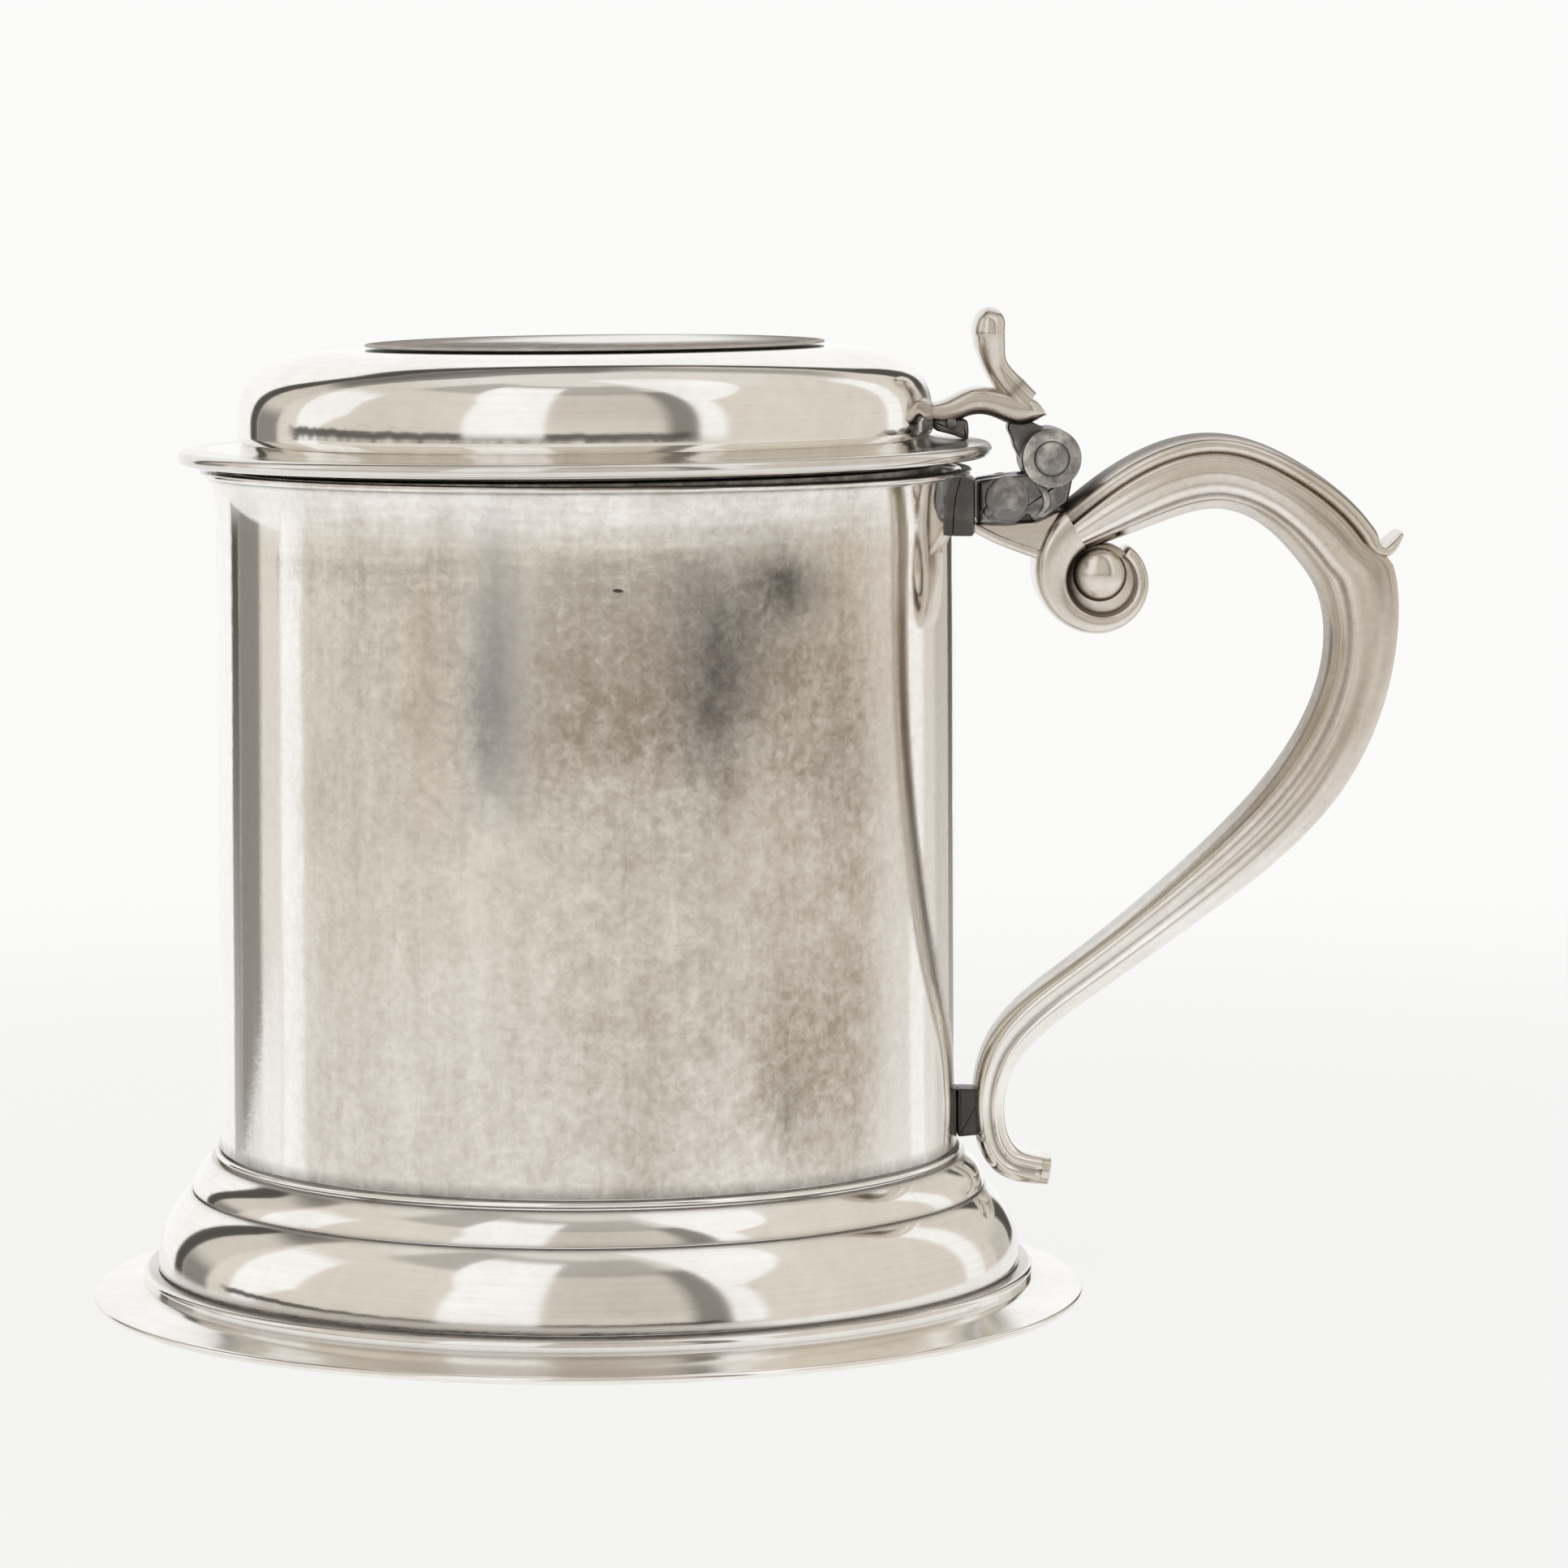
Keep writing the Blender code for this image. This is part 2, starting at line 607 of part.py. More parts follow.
def build_hinge_carrier(axis, line):
    """The pad on the drum, the bracket with the outer knuckles, the handle's root and the strut."""
    handle_seat = add_cutter("handle_seat", swept_mesh("handle_seat", line, FIT_GAP), axis)
    curl, away = volute_line(line)
    volute_seat = add_cutter("volute_seat", swept_mesh("volute_seat", curl, FIT_GAP, away), axis)
    seat_radius = PAD_RADIUS + FIT_GAP
    pad_seat = [
        (0.0, PAD_TOP + PAD_HEIGHT),
        (seat_radius, PAD_TOP + PAD_HEIGHT),
        (seat_radius, PAD_BASE - PAD_HEIGHT),
        (0.0, PAD_BASE - PAD_HEIGHT),
    ]
    pad_cutter = turned_cutter("pad_seat", pad_seat, axis)

    heights = np.linspace(PAD_BASE, PAD_TOP, 5)
    against = [(drum_outside(height) + FIT_GAP, height) for height in heights]
    pad = [(PAD_RADIUS, PAD_TOP), (PAD_RADIUS, PAD_BASE), *against]
    pad_window = box_mesh(
        "pad_window",
        (0.0, -PAD_WIDTH / 2, PAD_BASE - PAD_HEIGHT),
        (2 * PAD_RADIUS, PAD_WIDTH / 2, PAD_TOP + PAD_HEIGHT),
    )
    part = turned_ring("hinge_pad", pad, TARNISHED, axis)
    boolean(part, add_cutter("pad_window", pad_window, axis), "INTERSECT")

    hinge = (HINGE_OUT, HINGE_HEIGHT)
    heel = (HINGE_OUT + 0.57 * BARREL_RADIUS, HINGE_HEIGHT - BRACKET_HEEL)
    root_line = ROOT_TOP + FIT_GAP
    inside_pad = PAD_RADIUS - PAD_THICKNESS
    bracket = [
        (inside_pad, root_line),
        (inside_pad, PAD_TOP - FIT_GAP),
        (PAD_RADIUS + BRACKET_SHOULDER, HINGE_HEIGHT - BRACKET_SHOULDER),
        *arc(hinge, BARREL_RADIUS, 208, -38, 4 * ARC_STEPS),
        heel,
        (HINGE_OUT - 0.23 * BARREL_RADIUS, root_line + ROOT_RISE / 2),
        (HINGE_OUT - 0.62 * BARREL_RADIUS, root_line),
    ]
    part = add_part("hinge_bracket", plate_mesh("hinge_bracket", bracket, HINGE_WIDTH), TARNISHED, axis)
    bore = plate_mesh("pin_bore", arc(hinge, PIN_RADIUS + FIT_GAP, 0, 345, PIN_STEPS - 1), 2 * HINGE_WIDTH)
    boolean(part, add_cutter("pin_bore", bore, axis))
    slot_radius = BARREL_RADIUS + 2 * FIT_GAP
    slot = plate_mesh(
        "knuckle_slot",
        arc(hinge, slot_radius, 0, 345, PIN_STEPS - 1),
        LID_KNUCKLE_WIDTH + 2 * FIT_GAP,
    )
    boolean(part, add_cutter("knuckle_slot", slot, axis))
    for cutter in (pad_cutter, handle_seat, volute_seat):
        boolean(part, cutter)

    eye = eye_place(line)
    curl_left = curl[:, 0].min()
    root = [
        (inside_pad, PAD_BASE),
        (inside_pad, ROOT_TOP),
        (curl_left, ROOT_TOP),
        (curl_left, eye[1] + EYE_RADIUS / 2),
    ]
    part = add_part("handle_root", plate_mesh("handle_root", root, ROOT_WIDTH), CAST, axis)
    for cutter in (pad_cutter, volute_seat, handle_seat):
        boolean(part, cutter)

    strut_base = DRUM_BASE + STRUT_LIFT
    strut_top = strut_base + STRUT_HEIGHT
    reach = DRUM_RADIUS + HANDLE_STANDOFF
    strut = [
        (reach, strut_top),
        (reach, strut_base),
        (drum_outside(strut_base) + FIT_GAP, strut_base),
        (drum_outside(strut_top) + FIT_GAP, strut_top),
    ]
    strut_window = box_mesh(
        "strut_window",
        (0.0, -STRUT_WIDTH / 2, strut_base - STRUT_HEIGHT),
        (2 * reach, STRUT_WIDTH / 2, strut_top + STRUT_HEIGHT),
    )
    part = turned_ring("lower_strut", strut, TARNISHED, axis)
    boolean(part, add_cutter("strut_window", strut_window, axis), "INTERSECT")
    boolean(part, handle_seat)


def build_handle(axis, line):
    """The hollow handle in two halves, its back strap and spur, its volute and its end cap."""
    share = np.linspace(0.0, 1.0, len(line))
    fade = np.clip((share - SPUR_SHARE - SPUR_CLEAR_SHARE) / STRAP_FADE_SHARE, 0.0, 1.0)
    covered = (BACK_STRAP + FIT_GAP) * (1.0 - fade)
    for name, side in (("handle_front_half", -1), ("handle_rear_half", 1)):
        rings = sweep(line, half_shell_section(line, covered, side))
        add_part(name, loft_mesh(name, rings), CAST, axis)

    strap = swept_mesh("handle_back_strap", back_strap_line(line))
    add_part("handle_back_strap", strap, CAST, axis)

    curl, away = volute_line(line)
    add_part("volute", swept_mesh("volute", curl, 0.0, away), CAST, axis)

    eye = eye_place(line)
    half = VOLUTE_WIDTH / 2
    bulge = [
        (EYE_RADIUS * math.cos(a), half + EYE_DOME * math.sin(a))
        for a in np.linspace(math.pi / 2, 0.0, 5)
    ]
    bulge[0] = (0.0, bulge[0][1])
    profile = [*bulge, *[(radius, -height) for radius, height in reversed(bulge)]]
    bead = add_part(
        "volute_eye", outline_mesh("volute_eye", profile, closed=False), CAST, axis, (eye[0], 0.0, eye[1])
    )
    bead.rotation_euler = (math.pi / 2, 0.0, 0.0)
    turn(bead, PIN_STEPS)

    along = directions(line)[0][-1]
    cap = np.repeat(line[-1:], 3, axis=0)
    for row, reach in enumerate((FIT_GAP, FIT_GAP + END_CAP / 2, FIT_GAP + END_CAP)):
        cap[row, :2] += along * reach
    cap[2, 2:] -= END_CAP
    add_part("handle_end_cap", swept_mesh("handle_end_cap", cap), CAST, axis)


def build_hinge_pin(axis):
    """The pin through the knuckles, with peened ends."""
    half = HINGE_WIDTH / 2
    profile = [
        (0.0, half + PIN_DOME),
        (PIN_RADIUS * 0.7, half + PIN_DOME * 0.7),
        (PIN_RADIUS, half),
        (PIN_RADIUS, -half),
        (PIN_RADIUS * 0.7, -half - PIN_DOME * 0.7),
        (0.0, -half - PIN_DOME),
    ]
    mesh = outline_mesh("hinge_pin", profile, closed=False)
    pin = add_part("hinge_pin", mesh, TARNISHED, axis, (HINGE_OUT, 0.0, HINGE_HEIGHT))
    pin.rotation_euler = (math.pi / 2, 0.0, 0.0)
    turn(pin, PIN_STEPS)


def build_lid(hinge):
    """The lid's turned pieces. They hang on the hinge's axis."""
    place = (-HINGE_OUT, 0.0, -HINGE_HEIGHT)
    inner = DOME_RADIUS - DOME_TUCK - DOME_WALL
    shoulder = DOME_RADIUS + LID_SHOULDER
    nose = LID_RIM_HEIGHT / 2
    slope = [
        (
            shoulder + (LID_RADIUS - nose - shoulder) * math.sin(a),
            LID_RIM_TOP + LID_FLANGE_RISE * (0.85 * math.cos(a)),
        )
        for a in np.linspace(0.0, math.pi / 2, 4)
    ]
    rim = arc((LID_RADIUS - nose, LID_RIM_BASE + nose), nose, 90, -90, 4)
    flange = [
        (inner, SHOULDER_TOP),
        (DOME_RADIUS + DOME_WALL, SHOULDER_TOP),
        *slope[:-1],
        *rim,
        (RIM_RADIUS + FIT_GAP, LID_RIM_BASE),
        (LIP_RADIUS, LID_SEAT),
        (inner, LID_SEAT),
    ]
    turned_ring("lid_flange", flange, POLISHED, hinge, place)

    outside = [dome_outside(share) for share in np.linspace(1.0, 0.0, 2 * ARC_STEPS - 1)]
    crown = DOME_TOP - DOME_WALL
    inside = [
        (
            DISC_RADIUS + (inner - DISC_RADIUS) * abs(math.cos(a)) ** DOME_SQUARENESS,
            DOME_BASE + (DOME_HEIGHT - DOME_WALL) * math.sin(a) ** DOME_SQUARENESS,
        )
        for a in np.linspace(0.0, math.pi / 2, 2 * ARC_STEPS - 3)
    ]
    turned_solid("lid_dome", [(0.0, DOME_TOP), *outside, *inside, (0.0, crown)], POLISHED, hinge, place)

    disc = [
        (0.0, DISC_BASE + DISC_THICKNESS),
        (DISC_RADIUS - DISC_SLOPE, DISC_BASE + DISC_THICKNESS),
        (DISC_RADIUS, DISC_BASE + DISC_EDGE),
        (DISC_RADIUS, DISC_BASE),
        (0.0, DISC_BASE),
    ]
    turned_solid("lid_disc", disc, POLISHED, hinge, (DISC_SHIFT - HINGE_OUT, 0.0, -HINGE_HEIGHT))

    ring_radius = DRUM_RADIUS - DRUM_WALL - BEZEL_PLAY
    bezel_top = LID_SEAT - FIT_GAP
    bezel_base = bezel_top - BEZEL_DEPTH
    bezel = [
        (ring_radius, bezel_top),
        (ring_radius, bezel_base),
        (ring_radius - BEZEL_WALL, bezel_base),
        (ring_radius - BEZEL_WALL, bezel_top),
    ]
    turned_ring("lid_bezel", bezel, SATIN, hinge, place)


def build_lid_hinge(hinge):
    """The lid's side of the hinge: lug, strap, middle knuckle and thumbpiece."""
    place = (-HINGE_OUT, 0.0, -HINGE_HEIGHT)
    shoulder = DOME_RADIUS + LID_SHOULDER
    widest = DOME_BASE + DOME_SWELL
    outside = map(dome_outside, np.linspace(1.0, 0.0, 2 * ARC_STEPS - 1))
    dome = [
        (radius + FIT_GAP, height + FIT_GAP if height > widest else height) for radius, height in outside
    ]
    seat = [
        (0.0, dome[0][1]),
        *dome,
        (DOME_RADIUS + FIT_GAP, SHOULDER_TOP + FIT_GAP),
        (shoulder + FIT_GAP, SHOULDER_TOP + FIT_GAP),
        (LID_RADIUS + FIT_GAP, LID_RIM_TOP + FIT_GAP),
        (LID_RADIUS + FIT_GAP, LID_SEAT),
        (0.0, LID_SEAT),
    ]
    lid_seat = turned_cutter("lid_seat", seat, hinge, place)

    lug_end = DOME_RADIUS + LUG_LENGTH
    lug = [
        (DOME_RADIUS - LUG_LENGTH, STRAP_UNDER - FIT_GAP),
        (lug_end, STRAP_UNDER - FIT_GAP),
        (lug_end, SHOULDER_TOP - LID_FLANGE_RISE),
        (DOME_RADIUS - LUG_LENGTH, SHOULDER_TOP - LID_FLANGE_RISE),
    ]
    part = add_part("lid_lug", plate_mesh("lid_lug", lug, LUG_WIDTH), POLISHED, hinge, place)
    boolean(part, lid_seat)

    strap_mesh = plate_mesh("lid_strap", strap_outline(), STRAP_WIDTH)
    part = add_part("lid_strap", strap_mesh, POLISHED, hinge, place)
    boolean(part, lid_seat)

    centre = (HINGE_OUT, HINGE_HEIGHT)
    neck_top = LOBE_HEIGHT - FIT_GAP
    knuckle = [
        (HINGE_OUT - 2.65 * STRAP_NOSE, neck_top),
        (HINGE_OUT - 2.1 * STRAP_NOSE, HINGE_HEIGHT + 0.4 * BARREL_RADIUS),
        *arc(centre, BARREL_RADIUS, 185, 465, 3 * ARC_STEPS),
        (HINGE_OUT - 1.25 * STRAP_NOSE, neck_top),
    ]
    mesh = plate_mesh("lid_knuckle", knuckle, LID_KNUCKLE_WIDTH)
    part = add_part("lid_knuckle", mesh, POLISHED, hinge, place)
    bore = plate_mesh("lid_bore", arc(centre, PIN_RADIUS + FIT_GAP, 0, 345, PIN_STEPS - 1), 2 * HINGE_WIDTH)
    boolean(part, add_cutter("lid_bore", bore, hinge, place))

    base = HINGE_OUT - 2.0 * STRAP_NOSE
    shape = (
        (0.00, -0.14, 0.84, 0.80),
        (0.43, 0.11, 0.79, 0.76),
        (0.81, 0.31, 0.77, 0.80),
        (0.95, 0.50, 0.95, 0.94),
        (1.00, 0.70, 1.00, 1.00),
        (0.95, 0.84, 0.70, 0.90),
        (0.93, 0.90, 0.30, 0.60),
    )
    thumb = [
        (
            base - lean * THUMB_LEAN,
            STRAP_TOP + up * THUMB_HEIGHT,
            stout * THUMB_THICKNESS,
            broad * THUMB_WIDTH,
        )
        for lean, up, stout, broad in shape
    ]
    mesh = swept_mesh("thumbpiece", smooth_line(thumb, STRAP_STATIONS))
    part = add_part("thumbpiece", mesh, CAST, hinge, place)
    strap_seat = plate_mesh("strap_seat", strap_outline(FIT_GAP), 2 * THUMB_WIDTH)
    boolean(part, add_cutter("strap_seat", strap_seat, hinge, place))


def main():
    """Builds every piece round the drum's axis, set so that the origin is under the middle."""
    line = handle_line()
    spur = sweep(back_strap_line(line), rounded_section(*back_strap_line(line)[:, 2:].T))
    reach = spur[..., 0].max()
    axis = empty("drum_axis", ((FLANGE_RADIUS - reach) / 2, 0.0, 0.0))
    hinge = empty("lid_hinge_axis", (HINGE_OUT, 0.0, HINGE_HEIGHT), axis)
    build_drum(axis)
    build_foot(axis)
    build_hinge_carrier(axis, line)
    build_handle(axis, line)
    build_hinge_pin(axis)
    build_lid(hinge)
    build_lid_hinge(hinge)


main()
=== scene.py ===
"""Looks of a lidded silver tankard: turned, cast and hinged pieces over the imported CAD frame.

Every piece is a surface worked out with numpy. Shapes are written in millimetres from the drum's
axis and the table, and moved into the frame's metres when they become a mesh.
"""

import math

import bpy
import numpy as np
from bpy.props import FloatProperty, FloatVectorProperty, IntProperty, PointerProperty
from mathutils import Matrix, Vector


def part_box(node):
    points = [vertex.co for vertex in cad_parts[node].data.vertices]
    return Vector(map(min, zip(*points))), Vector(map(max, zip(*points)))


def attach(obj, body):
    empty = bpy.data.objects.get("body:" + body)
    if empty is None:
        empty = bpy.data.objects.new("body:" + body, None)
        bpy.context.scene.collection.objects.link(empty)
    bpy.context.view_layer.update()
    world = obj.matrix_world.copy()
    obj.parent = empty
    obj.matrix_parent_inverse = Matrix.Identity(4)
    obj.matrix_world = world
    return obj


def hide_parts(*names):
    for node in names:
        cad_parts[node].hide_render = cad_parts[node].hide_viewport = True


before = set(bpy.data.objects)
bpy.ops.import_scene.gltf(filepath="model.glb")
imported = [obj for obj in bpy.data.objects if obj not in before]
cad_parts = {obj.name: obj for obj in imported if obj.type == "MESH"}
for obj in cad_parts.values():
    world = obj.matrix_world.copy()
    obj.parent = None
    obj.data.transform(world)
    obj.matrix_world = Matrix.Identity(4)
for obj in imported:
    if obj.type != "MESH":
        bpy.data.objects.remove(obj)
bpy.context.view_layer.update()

bl_info = {
    "name": "Silver tankard",
    "version": (1, 0, 0),
    "blender": (4, 5, 0),
    "location": "3D View > Sidebar > Tankard",
    "description": "Builds the visible pieces, the silver finishes and the stage of a lidded tankard",
    "category": "Object",
}

MM = 0.001
WELD = 1e-8
SPAN_STEPS = 24
CAP_STEPS = 6


def reach(node):
    """A turned node's outer radius, in mm from the drum's axis."""
    low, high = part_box(node)
    return (high.y - low.y) / 2 / MM


def base_of(node):
    """A node's lowest height, in mm."""
    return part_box(node)[0].z / MM


def top_of(node):
    """A node's highest height, in mm."""
    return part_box(node)[1].z / MM


# Places read from the frame, in mm from the drum's axis and the table
DRUM_LOW, DRUM_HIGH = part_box("drum")
AXIS_X = (DRUM_LOW.x + DRUM_HIGH.x) / 2
PIN_LOW, PIN_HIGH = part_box("hinge_pin")
HINGE_OUT = ((PIN_LOW.x + PIN_HIGH.x) / 2 - AXIS_X) / MM
HINGE_HEIGHT = (PIN_LOW.z + PIN_HIGH.z) / 2 / MM
HINGE_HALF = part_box("hinge_bracket")[1].y / MM
PIN_RADIUS = (PIN_HIGH.x - PIN_LOW.x) / 2 / MM
LIP_TOP = top_of("drum")
DRUM_BASE = base_of("drum")
LIP_RADIUS = reach("drum")
DISC_RADIUS = reach("lid_disc")
DISC_OUT = ((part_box("lid_disc")[0].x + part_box("lid_disc")[1].x) / 2 - AXIS_X) / MM
DOME_RADIUS = reach("lid_dome")

# Sizes the frame's boxes don't give, in mm
DRUM_RADIUS = 47.9
DRUM_SPREAD = 0.4
DRUM_WALL = 1.2
LIP_ROUND = 0.5
WIRE_HEIGHT = 0.8
FLARE_RISE = 9.5
FOOT_WALL = 1.4
FOOT_NECK = 1.0
OVOLO_SPREAD = 4.5
PAD_RADIUS = DRUM_RADIUS + 2.7
PAD_HALF = 7.5
DOME_WALL = 1.2
DOME_SWELL = 1.2
DOME_TUCK = 0.9
DOME_SQUARENESS = 0.68
RIM_NOSE = 0.9
BARREL_RADIUS = 3.9
KNUCKLE_HALF = 2.2
CHEEK_FACE = 2.5
FIT_GAP = 0.3
SOLDER = 0.05

# Handle line: out of the standoff and up as shares, then stoutness and breadth as shares
HANDLE_LINE = (
    (0.223, 0.920, 0.65, 0.93),
    (0.364, 0.961, 0.91, 0.97),
    (0.611, 1.000, 1.00, 1.00),
    (0.781, 0.967, 0.97, 0.99),
    (0.900, 0.913, 1.05, 0.98),
    (0.955, 0.873, 1.05, 0.96),
    (0.992, 0.781, 0.92, 0.94),
    (0.877, 0.581, 0.88, 0.87),
    (0.558, 0.406, 0.72, 0.77),
    (0.235, 0.273, 0.58, 0.67),
    (0.037, 0.172, 0.52, 0.61),
    (0.000, 0.085, 0.42, 0.57),
    (0.050, 0.014, 0.44, 0.57),
    (0.139, 0.000, 0.40, 0.56),
)
HANDLE_START = (52.5, 15.7)
HANDLE_SPAN = (48.9, 91.8)
HANDLE_STOUT = 9.7
HANDLE_BROAD = 14.0
SPUR_SHARE = 0.280
SPUR_CLEAR_SHARE = -0.006
STRAP_FADE_SHARE = 0.03
RIB_HEIGHT = 2.2
RIB_SINK = 0.6
SPUR_HOOK = ((0.68, 0.01, 0.95), (1.0, 0.22, 0.85), (1.0, 0.60, 0.75), (0.82, 1.0, 0.45))
SPUR_DROP = 2.6
SPUR_LENGTH = 3.6
EYE_RADIUS = 3.6
CURL_TIP = 1.8
CURL_WIDTH = 11.0
CURL_GROOVE = 0.65
CURL_START = math.radians(50)

# Half of the handle's moulded section, from the middle of its back round the side to the middle
# of its hollow: out and across as shares, then a tarnish and shading value: tarnish in the grooves, painted
# shade on the inner side and painted dark lines at the outer and inner edges
SECTION_TOP = (
    (1.00, 0.00, 0.3), (1.00, 0.60, 0.3), (0.99, 0.88, 0.3), (0.90, 0.95, 0.15), (0.70, 0.965, 0.0),
    (0.40, 1.00, 0.0), (0.00, 0.99, 0.0), (-0.34, 0.955, 0.1), (-0.43, 0.915, 0.6),
    (-0.52, 0.90, 0.3), (-0.72, 0.79, 0.12), (-0.92, 0.55, 0.3), (-1.00, 0.28, 0.5), (-1.00, 0.00, 0.5),
)
SECTION_TAIL = (
    (1.00, 0.00, 0.5), (1.00, 0.42, 0.4), (0.95, 0.67, 0.1), (0.76, 0.89, 0.0), (0.45, 1.00, 0.0),
    (0.20, 0.97, 0.1), (0.06, 0.91, 0.55), (-0.08, 0.93, 0.3), (-0.32, 1.00, 0.12),
    (-0.60, 0.95, 0.18), (-0.82, 0.77, 0.24), (-0.96, 0.52, 0.4), (-1.00, 0.25, 0.5), (-1.00, 0.00, 0.5),
)

# Outlines of the small cast pieces, out and up in mm
BRACKET_HEEL = ((PAD_RADIUS + FIT_GAP, 101.1), (53.2, 101.0))
BRACKET_SCROLL = (54.5, 104.2)
BRACKET_KNOB = (52.1, 102.6)
CHEEK_END = ((58.1, 101.3), (59.6, 101.8), (62.4, 103.7), (63.2, 107.6), (57.0, 107.3), (53.4, 106.9))
WEB_END = ((58.1, 101.3), (59.6, 101.8), (62.2, 103.8))
LEAF_LINE = ((58.2, 106.1), (59.4, 104.9), (59.6, 103.4), (58.4, 102.0))
ARM_OUTLINE = (
    (PAD_RADIUS - 0.9, 101.0), (PAD_RADIUS - 0.9, 100.0), (53.5, 98.3), (56.5, 97.3), (59.2, 96.3),
    (61.0, 95.2), (63.0, 97.0), (63.2, 102.6), (61.0, 102.6), (58.0, 101.2),
)
ARM_BEAD_LINE = ((50.3, 100.5), (53.6, 98.8), (57.0, 97.5), (60.0, 96.4))
STRAP_OVER = (
    (44.8, 116.4), (46.4, 116.8), (48.6, 117.9), (51.3, 118.6),
    (54.2, 118.2), (57.4, 117.5), (59.2, 116.1), (59.75, 115.1),
)
STRAP_UNDER = (
    (44.8, 114.2), (46.5, 113.9), (48.1, 114.1), (49.7, 114.75), (52.3, 114.85),
    (54.4, 114.0), (56.6, 113.5), (58.2, 114.0), (59.75, 114.9),
)
STRAP_START, STRAP_LENGTH = 44.8, 14.95
KNUCKLE_HEEL = ((58.6, 113.7), (57.0, 114.3), (55.3, 114.2), (54.8, 113.4), (55.2, 112.2), (55.6, 110.8))

# Thumbpiece: towards the drum and up as shares, then stoutness and breadth as shares
THUMB_LINE = (
    (-0.30, -0.17, 0.90, 0.80), (0.34, 0.06, 0.82, 0.76), (0.80, 0.29, 0.76, 0.80),
    (0.95, 0.50, 0.92, 0.94), (1.00, 0.66, 0.98, 1.00), (0.97, 0.74, 0.95, 0.97),
)
THUMB_BASE = (HINGE_OUT - 4.2, 118.4)
THUMB_SPAN = (3.7, 11.2)
THUMB_STOUT = 4.3
THUMB_BROAD = 10.0

# Stains on the drum's front: middle across and up, half sizes, strength
BLOOM_STAINS = (
    ((2.0, 82.0), (15.0, 14.0), 0.60),
    ((24.0, 82.0), (14.0, 18.0), 0.60),
    ((27.0, 36.0), (9.0, 12.0), 0.46),
    ((36.0, 60.0), (10.0, 34.0), 0.40),
    ((8.0, 40.0), (24.0, 22.0), 0.26),
)
SOOT_STAINS = (
    ((16.4, 84.0), (5.6, 13.0), 0.74),
    ((24.7, 95.0), (4.8, 4.8), 0.92),
    ((21.0, 89.0), (8.0, 9.0), 0.22),
    ((-11.6, 80.0), (3.2, 9.0), 0.52),
    ((-11.2, 94.0), (2.4, 8.0), 0.20),
    ((25.0, 31.0), (2.4, 5.0), 0.30),
    ((31.0, 72.0), (5.0, 8.0), 0.25),
)

# The table top, in metres
TABLE_RINGS = (0.0, 0.08, 0.14, 0.22, 0.34, 0.52)
TABLE_DROP = -0.00002


# ---------------------------------------------------------------- settings a user may change


def tint(name, description, default):
    """A colour setting."""
    return FloatVectorProperty(
        name=name, description=description, default=default, size=3, min=0.0, max=1.0, subtype="COLOR"
    )


def factor(name, description, default):
    """A setting between 0 and 1."""
    return FloatProperty(
        name=name, description=description, default=default, min=0.0, max=1.0, subtype="FACTOR"
    )


def length(name, description, default, least, most):
    """A length setting, given in mm and kept in metres."""
    return FloatProperty(
        name=name,
        description=description,
        default=default * MM,
        min=least * MM,
        max=most * MM,
        precision=6,
        unit="LENGTH",
        subtype="DISTANCE",
    )


def angle_of(name, description, default, least=-180.0, most=180.0):
    """An angle setting, given in degrees."""
    return FloatProperty(
        name=name,
        description=description,
        default=math.radians(default),
        min=math.radians(least),
        max=math.radians(most),
        unit="ROTATION",
        subtype="ANGLE",
    )


def count_of(name, description, default, least, most):
    """A setting in whole numbers."""
    return IntProperty(name=name, description=description, default=default, min=least, max=most)


class TankardForm(bpy.types.PropertyGroup):
    """Sizes and fineness of the visible shapes."""

    turn_steps: count_of("Turning steps", "Facets round a turned piece", 256, 48, 512)
    ripple: length("Hammer ripple", "How far raised sheet wavers from a true turned surface", 0.012, 0.0, 0.2)
    lip_flare: length("Lip flare", "How far the drum turns out under the rim wire", 1.2, 0.0, 2.0)
    lid_cant: angle_of("Lid cant", "How far the closed lid stands up towards its hinge", 0.45, 0.0, 2.0)
    edge_round: length("Edge rounding", "Radius worn onto the edges of the hinge's plates", 0.5, 0.05, 1.0)
    handle_stations: count_of("Handle stations", "Sections along the handle", 170, 40, 400)


class TankardFinish(bpy.types.PropertyGroup):
    """Colours and smoothness of the silver."""

    clean: tint("Clean silver", "Colour of rubbed silver", (0.955, 0.935, 0.90))
    satin: tint("Satin silver", "Colour of the drum's worn satin surface", (0.905, 0.88, 0.83))
    bloom: tint("Brown bloom", "Colour of the thin brown tarnish", (0.45, 0.385, 0.315))
    # The crease colour also serves the painted shade in creases, gaps and under parts
    crease: tint("Crease tarnish", "Colour of the black tarnish left in hollows", (0.035, 0.028, 0.024))
    soot: tint("Grey stain", "Colour of the grey stains on the drum", (0.17, 0.155, 0.14))
    dark: tint("Dark hinge silver", "Colour of the unpolished hinge", (0.21, 0.20, 0.20))
    satin_rough: factor("Satin roughness", "Roughness of the drum", 0.055)
    polish_rough: factor("Polish roughness", "Roughness of the lid and foot", 0.07)
    cast_rough: factor("Cast roughness", "Roughness of the handle", 0.15)


